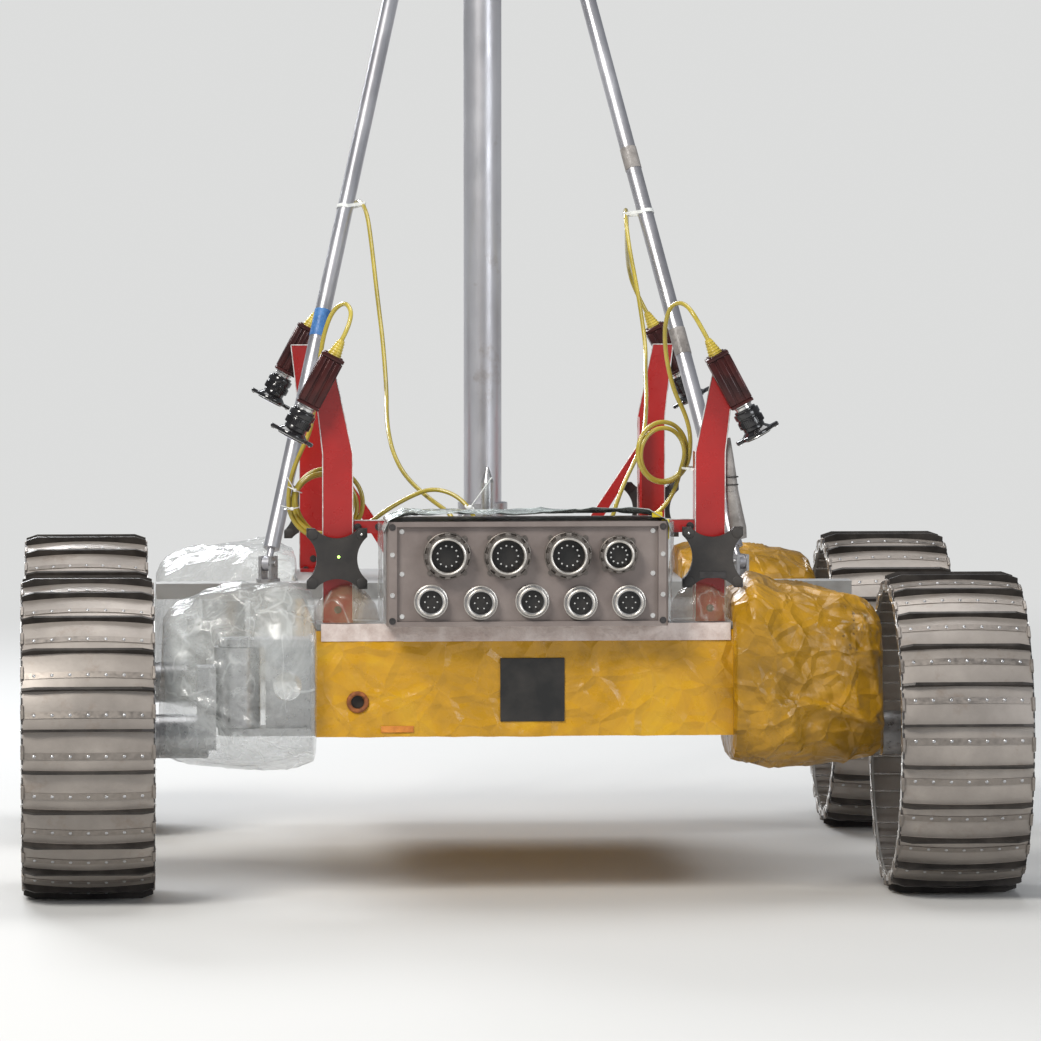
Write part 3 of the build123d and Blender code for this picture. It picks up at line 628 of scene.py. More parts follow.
def cord_jacket():
    color = tuple(finishes().cord)
    return mottled("cord jacket", color, 0.24, (14.0, 5.0),
                   ((0.32, shade(color, 0.62)), (0.6, color), (0.8, (0.60, 0.50, 0.12))),
                   (240.0, 2.0, 0.0002, 0.3), Coat_Weight=0.35, Coat_Roughness=0.1)


def tie_nylon():
    return mottled("tie nylon", (0.80, 0.81, 0.79), 0.34, (60.0, 4.0),
                   ((0.35, (0.66, 0.68, 0.66)), (0.65, (0.90, 0.91, 0.89))),
                   (500.0, 1.0, 0.0002, 0.4), Coat_Weight=0.3)


def tape(name, low, high, roughness=0.45):
    """Adhesive tape: a light weave, a cloudy colour and small wrinkles."""
    strip = Surface(name, high, roughness)
    place = strip.place()
    strip.set("Base Color", strip.ramp(strip.noise(place, 28.0, 6.0, 0.65), (0.34, low),
                                       (0.64, high)))
    strip.set("Roughness", strip.ramp(strip.noise(place, 60.0), (0.35, roughness * 0.7),
                                      (0.7, roughness * 1.2)))
    strip.bump(strip.math("ADD", strip.ridge(place, 34.0), strip.noise(place, 420.0, 2.0)),
               0.0006, 0.6)
    return strip.material


def pink_tape():
    return tape("pink tape", (0.50, 0.40, 0.36), (0.74, 0.65, 0.61), 0.34)


def grey_tape():
    return tape("grey tape", (0.17, 0.155, 0.145), (0.36, 0.335, 0.315), 0.42)


def blue_tape():
    return tape("blue tape", (0.03, 0.10, 0.28), (0.07, 0.22, 0.50))


def orange_tape():
    return tape("orange tape", (0.42, 0.12, 0.015), (0.70, 0.26, 0.04))


def yellow_film():
    return tape("yellow film", (0.55, 0.42, 0.01), (0.85, 0.72, 0.06), 0.28)


def rust():
    return mottled("rust", (0.22, 0.06, 0.012), 0.7, (80.0, 6.0),
                   ((0.35, (0.09, 0.026, 0.010)), (0.7, (0.40, 0.13, 0.03))),
                   (200.0, 4.0, 0.0006, 0.8))


def green_light():
    return Surface("green light", (0.4, 0.9, 0.2), 0.3, Emission_Color=(0.55, 1.0, 0.15, 1.0),
                   Emission_Strength=3.0).material


def tread_skin(corner):
    """Smooth warm skin, near-black bars where the radius passes the skin's, painted shade for their
    shadow side, dull metal inside.
    """
    skin_color = tuple(finishes().tread)
    centre = axle(corner)
    skin = Surface(f"tread skin {corner}", skin_color, 0.42, 0.30)
    radius = skin.length(skin.place(scale=(0.0, 1.0, 1.0), move=(0.0, -centre.y, -centre.z)))
    across = skin.length(skin.place(scale=(1.0, 0.0, 0.0), move=(-centre.x, 0.0, 0.0)))
    drop = skin.math("MULTIPLY", skin.math("POWER", across, 2.0), TREAD_DROP / TREAD_HALF ** 2)
    place = skin.place()
    tone = skin.ramp(skin.noise(place, 7.0, 7.0, 0.62), (0.3, shade(skin_color, 0.70)),
                     (0.55, skin_color), (0.78, shade(skin_color, 1.35)))
    stains = skin.ramp(skin.noise(place, 22.0, 8.0, 0.7), (0.56, 0.0), (0.72, 0.55))
    tone = skin.mix(stains, tone, TREAD_STAIN)
    # The raised bars are painted near black: painted shade standing for their shadow side
    bar = skin.ramp(skin.noise(place, 30.0, 5.0), (0.35, tuple(finishes().grouser)),
                    (0.75, (0.06, 0.052, 0.046)))
    raised = skin.math("GREATER_THAN", skin.math("ADD", radius, drop), TREAD_SKIN_RADIUS)
    outside = skin.mix(raised, tone, bar)
    inside = skin.math("LESS_THAN", radius, TREAD_INSIDE_RADIUS)
    skin.set("Base Color", skin.mix(inside, outside, TREAD_INSIDE))
    skin.bump(skin.noise(place, 90.0, 6.0, 0.65), 0.0004, 0.5)
    return skin.material


FINISHES = {
    item.__name__: item for item in (
        amber_film, brown_film, clear_film, brown_haze, silver_foil, red_paint, bare_edge,
        deck_metal, tube_metal, machined_metal, spoke_metal, tread_foot, bright_metal, dark_metal,
        collar_metal, pale_ring, box_sheet, black_plate, moulded_black, dark_red_housing,
        black_gloss, lens_glass, relief_rubber, cord_jacket, tie_nylon, pink_tape, grey_tape,
        blue_tape, orange_tape, yellow_film, rust, green_light)
}


def finish_named(name):
    label = name.replace("_", " ")
    return bpy.data.materials.get(label) or FINISHES[name]()


# Cords: the control points of each route, in metres, as the CAD solids lie, and its length
COIL_STEP = 15      # points for each turn
COIL_WANDER = .003
UPPER_FL = ((-.281, -.590, .8651), (-.263, -.590, .899), (-.272, -.556, .924), (-.293, -.530, .909),
            (-.306, -.524, .873), (-.312, -.522, .835), (-.317, -.522, .796), (-.321, -.522, .757),
            (-.328, -.519, .719), (-.345, -.516, .684), (-.358, -.511, .648))
LOWER_FL = ((-.336, -.496, .576), (-.306, -.486, .553), (-.268, -.480, .554), (-.236, -.472, .576),
            (-.206, -.460, .597), (-.173, -.448, .615), (-.137, -.440, .629), (-.102, -.454, .621),
            (-.077, -.473, .598), (-.063, -.484, .563), (-.057, -.487, .525), (-.055, -.488, .485),
            (-.055, -.488, .446))
UPPER_FR = ((.281, -.590, .8651), (.263, -.590, .899), (.247, -.564, .921), (.229, -.535, .917),
            (.221, -.516, .886), (.222, -.508, .850), (.228, -.504, .814), (.238, -.502, .778),
            (.255, -.499, .745), (.264, -.490, .711))
LOWER_FR = ((.239, -.490, .627), (.221, -.497, .599), (.193, -.495, .581), (.180, -.491, .549),
            (.172, -.489, .515), (.170, -.488, .481), (.170, -.488, .446))
ROUTE_RL = ((-.281, .590, .8651), (-.259, .590, .906), (-.250, .563, .941), (-.248, .514, .967),
            (-.245, .450, .996), (-.241, .383, 1.021), (-.234, .316, 1.044), (-.222, .249, 1.065),
            (-.211, .185, 1.047), (-.206, .135, .999), (-.202, .088, .946), (-.198, .040, .895),
            (-.194, -.012, .847), (-.192, -.064, .798), (-.192, -.121, .758), (-.195, -.187, .731),
            (-.195, -.252, .705), (-.190, -.316, .675), (-.175, -.378, .644), (-.144, -.434, .615),
            (-.099, -.477, .585), (-.086, -.488, .517), (-.086, -.488, .446))
ROUTE_RR = ((.281, .590, .8651), (.259, .590, .906), (.248, .564, .940), (.242, .513, .963),
            (.236, .450, .990), (.231, .384, 1.014), (.226, .319, 1.036), (.219, .255, 1.050),
            (.215, .196, 1.028), (.218, .146, .980), (.226, .104, .925), (.231, .064, .876),
            (.234, .022, .830), (.229, -.039, .796), (.225, -.103, .767), (.220, -.168, .741),
            (.213, -.232, .715), (.203, -.297, .689), (.186, -.360, .663), (.163, -.417, .629),
            (.142, -.461, .579), (.125, -.488, .516), (.125, -.488, .446))
# Centre, middle radius, sideways direction, first angle, turns, way round, how far a strand lies
# from the bundle's middle, and how many degrees it goes round it in a turn
COIL_FL = (Vector((-.304, -.508, .609)), .052, Vector((1, 0, 0)), 180, 3.0, 1, .006, 72)
COIL_FR = (Vector((.220, -.508, .687)), .046, Vector((.866, .5, 0)), -13, 2.06, -1, .0048, 100)
CORDS = (
    ("fl", UPPER_FL, COIL_FL, LOWER_FL, 1.860, "coiled",
     ("cord_upper_fl", "cord_coil_fl", "cord_lower_fl")),
    ("fr", UPPER_FR, COIL_FR, LOWER_FR, 1.170, "coiled",
     ("cord_upper_fr", "cord_coil_fr", "cord_lower_fr")),
    ("rl", ROUTE_RL, None, (), 1.472, "hanging", ("cord_rl",)),
    ("rr", ROUTE_RR, None, (), 1.440, "hanging", ("cord_rr",)),
)


def coil_point(coil, turn):
    """A point of a coil after so many turns, its strands lying round the bundle's middle."""
    centre, radius, sideways, first, _, way, offset, advance = coil
    angle = math.radians(first) + way * math.tau * turn
    strand = math.radians(advance * turn)
    reach = radius + offset * math.cos(strand) + COIL_WANDER * math.sin(angle + 2.1 * turn)
    normal = sideways.cross(Vector((0, 0, 1)))
    return (centre + sideways * reach * math.cos(angle)
            + Vector((0, 0, 1)) * reach * math.sin(angle)
            - normal * offset * math.sin(strand))


def coil_points(coil):
    if coil is None:
        return []
    count = round(coil[4] * COIL_STEP)
    return [coil_point(coil, coil[4] * n / count) for n in range(count + 1)]


def add_cord(corner, upper, coil, lower, length, lay, nodes):
    points = [Vector(point) for point in upper]
    points += coil_points(coil) + [Vector(point) for point in lower]
    diameter = sizes().cord
    bpy.ops.object.select_all(action="DESELECT")
    bpy.ops.curve.primitive_nurbs_path_add()
    item = named(bpy.context.object, f"cord_{corner}_jacket")
    curve = item.data
    curve.splines.clear()
    spline = curve.splines.new("NURBS")
    spline.points.add(len(points) - 1)
    for target, point in zip(spline.points, points):
        target.co = (*point, 1.0)
    spline.order_u = 3
    spline.use_endpoint_u = True
    spline.resolution_u = 8
    curve.dimensions = "3D"
    curve.bevel_depth = diameter / 2
    curve.bevel_resolution = 4
    curve.use_fill_caps = True
    finish(item, "root", "yellow_jacket", finish_named("cord_jacket"), *nodes)
    tuple(points[0])


# Films
COVER_MIDDLE = Vector((0, 0, .33))
# Sections of a corner's film: along X from the kingpin, half width along Y, lowest, highest
FILM_STATIONS = ((-.1190, .100, .262, .418), (-.1188, .138, .222, .462), (-.1150, .150, .212, .472),
                 (-.060, .152, .205, .478), (0.0, .127, .207, .474), (.060, .108, .212, .460),
                 (.100, .101, .220, .442), (.112, .094, .222, .430), (.118, .060, .223, .340),
                 (.121, .036, .213, .284))
FILM_SQUARENESS = 3.2
FILM_AROUND, FILM_ALONG = 216, 72
# The film's two ends and how far in its folds grow
FILM_INNER, FILM_OUTER, FILM_FADE = -.1195, .121, .03
# Folds seen in the covers' fronts: start, end (X, Z), how wide, how high
FOLDS = {
    "fr": (((.352, .440), (.352, .500), .030, .022), ((.427, .308), (.556, .270), .006, .010),
           ((.400, .462), (.548, .452), .010, .006), ((.365, .420), (.430, .330), .008, .008),
           ((.470, .425), (.545, .350), .007, .007), ((.450, .260), (.500, .225), .010, .008),
           ((.395, .300), (.420, .235), .007, .007), ((.520, .430), (.552, .300), .006, .006)),
    "fl": (((-.487, .452), (-.430, .466), .012, .014), ((-.400, .462), (-.345, .474), .013, .014),
           ((-.540, .420), (-.470, .360), .006, .008), ((-.420, .430), (-.360, .350), .007, .009),
           ((-.545, .330), (-.420, .280), .006, .009), ((-.390, .320), (-.345, .240), .007, .008),
           ((-.470, .400), (-.445, .250), .005, .007)),
    "rl": (((-.560, .440), (-.360, .470), .014, .012), ((-.520, .400), (-.420, .260), .006, .008)),
    "rr": (((.360, .450), (.560, .440), .014, .010), ((.400, .420), (.520, .300), .006, .008)),
}
FILM_SEEDS = {"fl": 3.1, "fr": 7.4, "rl": 12.9, "rr": 18.2}
# noise_vector takes its offsets from Blender's random state, which follows the clock until it is
# set: this number gives the same folds in each run
NOISE_SEED = 1795705028


def facets(spot):
    """Sharp along the straight borders between flat facets."""
    nearest = noise.voronoi(spot)[0]
    return max(0.0, 1.0 - (nearest[1] - nearest[0]) * 4.5) ** 1.4


def crumple(point, seed, stretch=(0.8, 1.0, 1.0)):
    """Creases of folded film in three sizes, from 0 to about 1."""
    shift = Vector((seed, seed * 1.7, -seed))
    spot = Vector([value * factor for value, factor in zip(point, stretch)])
    spot += noise.noise_vector(point * 5.0 + shift) * 0.03      # bends the borders a little
    fine = max(0.0, 1.0 - 3.0 * abs(noise.noise(spot * 46.0 + shift)))
    swell = 0.5 + 0.5 * noise.noise(spot * 7.0 - shift)
    large, small = facets(spot * 8.0 + shift), facets(spot * 21.0 - shift)
    return 0.50 * large + 0.17 * small + 0.06 * fine + 0.34 * swell


def add_sheet(name, place, across, along, height, thickness=0.0, closed=False, away=None):
    """A grid laid out by place(u, v) and raised by height(point, normal).

    A closed one is turned outwards, and an open one faces away from the point that is given."""
    bpy.ops.object.select_all(action="DESELECT")
    bpy.ops.mesh.primitive_grid_add(x_subdivisions=across, y_subdivisions=along, size=1)
    item = bpy.context.object
    for vertex in item.data.vertices:
        vertex.co = place(vertex.co.x + 0.5, vertex.co.y + 0.5)
    if closed:
        outward(item)
    item.data.update()
    if away and sum((face.center - away).dot(face.normal) for face in item.data.polygons) < 0:
        item.data.flip_normals()
        item.data.update()
    normals = [vertex.normal.copy() for vertex in item.data.vertices]
    for vertex, normal in zip(item.data.vertices, normals):
        vertex.co += normal * height(vertex.co, normal)
    if thickness:
        apply_modifier(item, "SOLIDIFY", thickness=thickness, offset=1.0)
    smooth(item, 60)
    return named(item, name)


def between(first, second, share):
    return tuple(a + (b - a) * share for a, b in zip(first, second))


def film_station(share):
    """The section at a share of the film's length, stations evenly shared."""
    spot = share * (len(FILM_STATIONS) - 1)
    index = min(int(spot), len(FILM_STATIONS) - 2)
    return between(FILM_STATIONS[index], FILM_STATIONS[index + 1], spot - index)


def fold_height(corner, point):
    height = 0.0
    for start, end, width, rise in FOLDS[corner]:
        start, end = Vector(start), Vector(end)
        spot = Vector((point.x, point.z))
        run = end - start
        share = max(0.0, min(1.0, (spot - start).dot(run) / run.length_squared))
        away = (spot - start - run * share).length / width
        height += rise * math.exp(-away * away)
    return height


def add_corner_film(corner, side_x, side_y):
    pin = kingpin(corner)
    seed = FILM_SEEDS[corner]

    def place(u, v):
        along, half, low, high = film_station(v)
        angle = math.tau * u * side_x
        reach = 2 / FILM_SQUARENESS
        c, s = math.cos(angle), math.sin(angle)
        return Vector((pin.x + side_x * along,
                       pin.y + half * math.copysign(abs(c) ** reach, c),
                       (low + high) / 2 + (high - low) / 2 * math.copysign(abs(s) ** reach, s)))

    def height(point, normal):
        along = (point.x - pin.x) * side_x
        ends = min(1.0, (along - FILM_INNER) / FILM_FADE,
                   max(.12, (FILM_OUTER - along) / FILM_FADE))
        rise = sizes().fold * (crumple(point, seed) * 1.5 - 0.25)
        if (point.y - pin.y) * side_y > 0:
            rise += fold_height(corner, point)
        rise = rise * max(.08, ends)
        outer = (point.x - pin.x, point.y - pin.y, point.z - COVER_MIDDLE.z)
        return rise if Vector(outer).dot(normal) > 0 else -rise

    film = add_sheet(f"film_{corner}", place, FILM_AROUND, FILM_ALONG, height,
                     sizes().film if side_x > 0 else 0.0, True)
    material = finish_named("brown_film" if side_x > 0 else "clear_film")
    film.data.materials.append(material)
    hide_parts(f"inner_cover_{corner}", f"outer_cover_{corner}")
    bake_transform(film)


# The body: its film, the port's middle and radius, and what lies on the film
BODY_PROUD, BODY_CUTS, BODY_FOLD = .0008, 63, .0030
PORT, PORT_RADIUS = Vector((-.258, 0, .310)), .0106


def add_body_film():
    """Film stuck to the tub's sides and bottom, cut out round the port."""
    proud = Vector((BODY_PROUD, BODY_PROUD, BODY_PROUD))
    top = BODY_HIGH.z - .0005
    film = add_box(BODY_LOW - proud, (BODY_HIGH.x + BODY_PROUD, BODY_HIGH.y + BODY_PROUD, top))
    select_only(film)
    bpy.ops.object.mode_set(mode="EDIT")
    bpy.ops.mesh.select_all(action="SELECT")
    bpy.ops.mesh.subdivide(number_cuts=BODY_CUTS)
    bpy.ops.mesh.select_all(action="DESELECT")
    bpy.ops.object.mode_set(mode="OBJECT")
    for face in film.data.polygons:
        spot = face.center
        port = spot.y < BODY_LOW.y and Vector((spot.x - PORT.x, spot.z - PORT.z)).length < .014
        face.select = face.normal.z > 0.9 or port
    bpy.ops.object.mode_set(mode="EDIT")
    bpy.ops.mesh.delete(type="FACE")
    bpy.ops.object.mode_set(mode="OBJECT")
    normals = [vertex.normal.copy() for vertex in film.data.vertices]
    for vertex, normal in zip(film.data.vertices, normals):
        slant = Vector((vertex.co.x + vertex.co.z, vertex.co.y, vertex.co.z * 1.6))
        vertex.co += normal * BODY_FOLD * crumple(slant, 31.0, (1.0, 1.0, 1.0))
    apply_modifier(film, "SOLIDIFY", thickness=sizes().film, offset=1.0)
    smooth(film, 60)
    finish(named(film, "body_film"), "root", "amber_film", finish_named("amber_film"))


def add_body_trim():
    front = BODY_LOW.y - .0045
    add_fixed("front_tape",
              [add_box((BODY_LOW.x + .006, front, .4035), (-.185, front + .0012, .4305), .0004),
               add_box((-.188, front - .0006, .4030),
                       (BODY_HIGH.x - .004, front + .0006, .4300), .0004)],
              "bare_aluminium", "pink_tape", None)
    add_fixed("front_plate",
              [add_box((-.039, front - .001, .279), (.060, front + .0014, .377), .0012)],
              "black_plastic", "black_plate", None)
    add_fixed("port_ring",
              [add_ring((PORT.x, BODY_LOW.y - .003, PORT.z), (0, 1, 0), .0135, .0035)],
              "steel", "rust", None)
    # Black disc at the back of the port hole: painted shade inside the hole
    add_fixed("port_painted_shade",
              [add_rod((PORT.x, BODY_LOW.y + .0135, PORT.z), (PORT.x, BODY_LOW.y + .0055, PORT.z),
                       PORT_RADIUS, 32)],
              "black_plastic", "moulded_black", None)
    add_fixed("tape_scrap",
              [add_box((-.222, front, .263), (-.172, front + .0012, .273), .0004)],
              "red_paint", "orange_tape", None)


# Films on the deck: the box's foil and scraps, and the bunches at the front posts' feet
FOIL_LIFT, FOIL_OVERHANG = .0015, .004
SCRAP_MIDDLE = Vector((0, BOX_LOW.y + .056, .511))
FOOT_FILM_IN, FOOT_FILM_OUT, FOOT_FILM_Y = .226, .318, -.568


def add_box_foil():
    """Silver foil over the box, folded down at its edges."""
    low, high = BOX_LOW, BOX_HIGH

    def place(u, v):
        x = low.x - FOIL_OVERHANG + (high.x - low.x + 2 * FOIL_OVERHANG) * u
        y = low.y - .0045 + (high.y - low.y + .010) * v
        away = min(x - low.x, high.x - x)
        return Vector((x, y, high.z + FOIL_LIFT - max(0.0, FOIL_OVERHANG - away) * 2.2))

    def height(point, normal):
        inside = min(1.0, max(0.1, min(point.x - low.x, high.x - point.x) / .03))
        swell = 0.5 + noise.noise(Vector((point.x * 9.0, point.y * 14.0, 3.3)))
        front = max(0.35, 1.0 - (point.y - low.y) / .06)
        return (.0035 + .0120 * swell * front + .0060 * crumple(point, 44.0, (1, 1, 1))) * inside

    foil = add_sheet("box_foil", place, 120, 46, height, sizes().film)
    finish(foil, "root", "bare_aluminium", finish_named("silver_foil"))


def add_box_scraps():
    """Clear film bunched at the box's two sides."""
    for name, side, seed in (("left", -1, 51.0), ("right", 1, 58.0)):
        def place(u, v):
            angle = math.pi * (u - 0.5)
            return Vector((side * (BOX_HIGH.x + .0012 + .0065 * math.cos(angle)),
                           SCRAP_MIDDLE.y + .055 * math.sin(angle), .434 + .154 * v))

        def height(point, normal):
            rise = .006 * crumple(point, seed, (1, 1, 1))
            return rise if normal.x * side > 0 else -rise

        scrap = add_sheet(f"box_scrap_{name}", place, 44, 56, height, away=SCRAP_MIDDLE)
        finish(scrap, "root", "clear_film", finish_named("clear_film"))


def add_foot_films():
    """Hazy film bunched over the feet of the two front posts."""
    for name, side, seed in (("left", -1, 64.0), ("right", 1, 71.0)):
        def place(u, v):
            dome = math.sin(math.pi * min(1.0, max(0.0, u))) ** 0.5
            turn = math.pi * v
            return Vector((side * (FOOT_FILM_IN + (FOOT_FILM_OUT - FOOT_FILM_IN) * u),
                           FOOT_FILM_Y - .036 * math.cos(turn) * max(.15, dome),
                           DECK_Z + .002 + .056 * math.sin(turn) ** 0.6 * dome))

        def height(point, normal):
            rise = .010 * crumple(point, seed, (1, 1, 1))
            back = 1 if point.y > FOOT_FILM_Y else -1
            return rise if normal.z + normal.y * back > 0 else -rise

        middle = Vector((side * (FOOT_FILM_IN + FOOT_FILM_OUT) / 2, FOOT_FILM_Y, DECK_Z))
        film = add_sheet(f"foot_film_{name}", place, 72, 60, height, away=middle)
        finish(film, "root", "clear_film", finish_named("brown_haze"))


# Wheels, made about the origin with the outboard side towards +X
TREAD_RADIUS, TREAD_DROP, TREAD_HALF = .242, .007, .100
TREAD_SKIN_RADIUS, TREAD_INSIDE_RADIUS = .2426, .2315
GROUSERS, RIM_TEETH, RIM_HOLES, CAP_BOLTS = 24, 96, 48, 8
RIVET_REACH, RIVET_RADIUS = .082, .0028
ORIGIN = Vector((0, 0, 0))


def crown(x):
    """The tread's radius at a place across it."""
    return TREAD_RADIUS - TREAD_DROP * (x / TREAD_HALF) ** 2


def bend_to_crown(item):
    for vertex in item.data.vertices:
        vertex.co.z += crown(vertex.co.x) - TREAD_RADIUS
    return item


def wheel_feet():
    """The riveted foot that trails each grouser, and a clip at each end."""
    foot = add_box((-.0955, .0022, TREAD_RADIUS - .001), (.0955, .0125, TREAD_RADIUS + .0010))
    select_only(foot)
    bpy.ops.object.mode_set(mode="EDIT")
    bpy.ops.mesh.select_all(action="SELECT")
    bpy.ops.mesh.subdivide(number_cuts=7)
    bpy.ops.object.mode_set(mode="OBJECT")
    bend_to_crown(foot)
    clips = []
    for side in (-1, 1):
        ends = sorted((side * .0975, side * .1025))
        clips.append(add_box((ends[0], -.009, .2225), (ends[1], .013, .2385), .0008, 1))
    return join("feet", turned(join("foot", [foot, *clips]), ORIGIN, GROUSERS))


def wheel_rivets():
    rivets = []
    for n in range(sizes().rivets):
        x = -RIVET_REACH + 2 * RIVET_REACH * n / (sizes().rivets - 1)
        rivet = add_ball((0, 0, 0), RIVET_RADIUS, 8, 5)
        rivet.data.transform(Matrix.Diagonal((1, 1, .6, 1)))
        rivet.data.transform(Matrix.Translation((x, .0078, crown(x) + .0009)))
        rivets.append(rivet)
    return join("rivets", turned(join("row", rivets), ORIGIN, GROUSERS))


def wheel_teeth():
    """The serrated dark edge of both rims."""
    teeth = []
    for side in (-1, 1):
        ends = sorted((side * .0992, side * .1012))
        teeth.append(add_box((ends[0], -.0045, .2290), (ends[1], .0045, .2362)))
    return join("teeth", turned(join("pair", teeth), ORIGIN, RIM_TEETH))


def wheel_scallops():
    """The silver ring with a scalloped inner edge, inside the rims."""
    rings = []
    for x in (-.1013, .1013):
        bpy.ops.object.select_all(action="DESELECT")
        bpy.ops.mesh.primitive_circle_add(vertices=288, radius=.2312)
        bpy.ops.object.mode_set(mode="EDIT")
        bpy.ops.mesh.extrude_region_move()
        bpy.ops.transform.resize(value=(.93, .93, 1))
        bpy.ops.object.mode_set(mode="OBJECT")
        ring = bpy.context.object
        for vertex in ring.data.vertices:
            radius = vertex.co.length
            if radius < .225:
                wave = abs(math.sin(12 * math.atan2(vertex.co.y, vertex.co.x)))
                vertex.co *= (.2170 + .0050 * wave) / radius
        apply_modifier(ring, "SOLIDIFY", thickness=.0016, offset=0.0)
        ring.data.transform(Matrix.Translation((x, 0, 0)) @ Matrix.Rotation(math.pi / 2, 4, "Y"))
        rings.append(ring)
    holes = add_rod((-.1030, 0, .2245), (.1030, 0, .2245), .0021, 8)
    return join("scallops", rings + turned(holes, ORIGIN, RIM_HOLES))


def wheel_bolts():
    """Bolts round the hub's cap and at the spokes' feet."""
    bolt = add_rod((.046, 0, .040), (.0525, 0, .040), .0042, 6)
    caps = turned(bolt, ORIGIN, CAP_BOLTS)
    lug = add_rod((.0125, 0, .207), (.0165, 0, .207), .0040, 6)
    return join("bolts", caps + turned(lug, ORIGIN, GROUSERS))


def dress_wheels():
    made = (("grouser_feet", wheel_feet(), "tread_skin", "tread_foot"),
            ("grouser_rivets", wheel_rivets(), "bare_aluminium", "machined_metal"),
            ("rim_teeth", wheel_teeth(), "tread_skin", "dark_metal"),
            ("rim_scallops", wheel_scallops(), "bare_aluminium", "bright_metal"),
            ("wheel_bolts", wheel_bolts(), "steel", "bright_metal"))
    for name, item, slot, material in made:
        smooth(item, 40)
        for corner, side_x, _ in CORNERS:
            turn = Matrix.Identity(4) if side_x > 0 else Matrix.Rotation(math.pi, 4, "Z")
            twin = copy_of(item, Matrix.Translation(axle(corner)) @ turn)
            finish(named(twin, f"{name}_{corner}"), f"wheel_{corner}", slot,
                   finish_named(material))
        bpy.data.objects.remove(item)


# Camera heads, made pointing down from the origin and set at each post's top
RIB_PLACES = (-.0125, 0, .0125)
# The barrel's steps from its top down: radius, length
BARREL_STEPS = ((.0172, .004), (.0205, .009), (.0188, .003), (.0198, .012), (.0175, .012))
EAR_SCREW = .0315
HEAD_PLACE = Vector((.293, .5905, .842))
HEAD_TILT = math.radians(28)
HEAD_HALF, HEAD_LENGTH = .0185, .088
BARREL_TOP, FLANGE_TOP = -.095, -.135


def head_housing():
    """A block with ribs along its four sides, a lid and its screws."""
    parts = [add_box((-.0158, -.0158, -HEAD_LENGTH), (.0158, .0158, 0), .0012)]
    for x in RIB_PLACES:
        rib = add_box((x - .0042, -HEAD_HALF, -HEAD_LENGTH + .006), (x + .0042, -.0150, -.008),
                      .0010)
        parts += turned(rib, ORIGIN, 4, "Z")
    for low, high in ((-HEAD_LENGTH, -HEAD_LENGTH + .005), (-.007, -.001)):
        parts.append(add_box((-HEAD_HALF, -HEAD_HALF, low), (HEAD_HALF, HEAD_HALF, high), .0010))
    for x in RIB_PLACES[::2]:
        for y in RIB_PLACES[::2]:
            parts.append(add_rod((x, y, -.001), (x, y, .0010), .0024, 12))
    return join("head_housing", parts)


def head_neck():
    return join("head_neck", [add_rod((0, 0, BARREL_TOP), (0, 0, -HEAD_LENGTH), .0135, 32),
                              add_ring((0, 0, -.0905), (0, 0, 1), .0137, .0010, 32, 6)])


def head_barrel():
    """Stepped barrel with a knurled grip, a waist and the eared flange."""
    parts = []
    top = BARREL_TOP
    for radius, length in BARREL_STEPS:
        parts.append(add_rod((0, 0, top - length), (0, 0, top), radius, 48, bevel=.0007))
        top -= length
    grip = add_box((.0194, -.0008, BARREL_TOP - .0270), (.0206, .0008, BARREL_TOP - .0170))
    parts += turned(grip, ORIGIN, 40, "Z")
    parts.append(add_rod((0, 0, FLANGE_TOP - .0005), (0, 0, FLANGE_TOP + .006), .0250, 48,
                         tip=.0176))
    parts.append(add_rod((0, 0, FLANGE_TOP - .006), (0, 0, FLANGE_TOP), .027, 48, bevel=.0012))
    parts.append(add_box((-.036, -.008, FLANGE_TOP - .006), (.036, .008, FLANGE_TOP), .0016))
    parts.append(add_ring((0, 0, FLANGE_TOP - .0065), (0, 0, 1), .0205, .0014, 48, 8))
    return join("head_barrel", parts)


def head_flange_glint_and_screws():
    # The thin bright ring round the flange's edge is a painted glint; the two ear screws are screws
    rims = [add_ring((0, 0, FLANGE_TOP - .0054), (0, 0, 1), .0268, .0004, 48, 6)]
    for x in (-EAR_SCREW, EAR_SCREW):
        rims.append(add_rod((x, 0, FLANGE_TOP - .0075), (x, 0, FLANGE_TOP - .0055), .0024, 12))
    return join("head_flange_glint_and_screws", rims)


def head_glass():
    glass = add_ball((0, 0, 0), .0190, 32, 16)
    glass.data.transform(Matrix.Translation((0, 0, FLANGE_TOP - .0058))
                         @ Matrix.Diagonal((1, 1, .20, 1)))
    return glass


def head_relief():
    parts = [add_rod((0, 0, 0), (0, 0, .026), .011, 24, tip=.005)]
    for n in range(5):
        z = .003 + .0045 * n
        parts.append(add_ring((0, 0, z), (0, 0, 1), .011 - .006 * z / .026, .0010, 24, 6))
    return join("head_relief", parts)


def dress_heads():
    made = (("head_housing", head_housing(), "black_housing", "dark_red_housing"),
            ("head_neck", head_neck(), "bare_aluminium", "bright_metal"),
            ("head_barrel", head_barrel(), "black_housing", "black_gloss"),
            ("head_flange_glint_and_screws", head_flange_glint_and_screws(), "bare_aluminium", "bright_metal"),
            ("head_glass", head_glass(), "black_housing", "lens_glass"),
            ("head_relief", head_relief(), "yellow_jacket", "relief_rubber"))
    for name, item, slot, material in made:
        smooth(item, 40)
        for corner, side_x, side_y in CORNERS:
            spot = Vector((side_x * HEAD_PLACE.x, side_y * HEAD_PLACE.y, HEAD_PLACE.z))
            turn = Matrix.Rotation(-side_x * HEAD_TILT, 4, "Y")
            twin = copy_of(item, Matrix.Translation(spot) @ turn)
            replaced = (f"camera_head_{corner}",) if name == "head_housing" else ()
            finish(named(twin, f"{name}_{corner}"), "root", slot, finish_named(material),
                   *replaced)
        bpy.data.objects.remove(item)


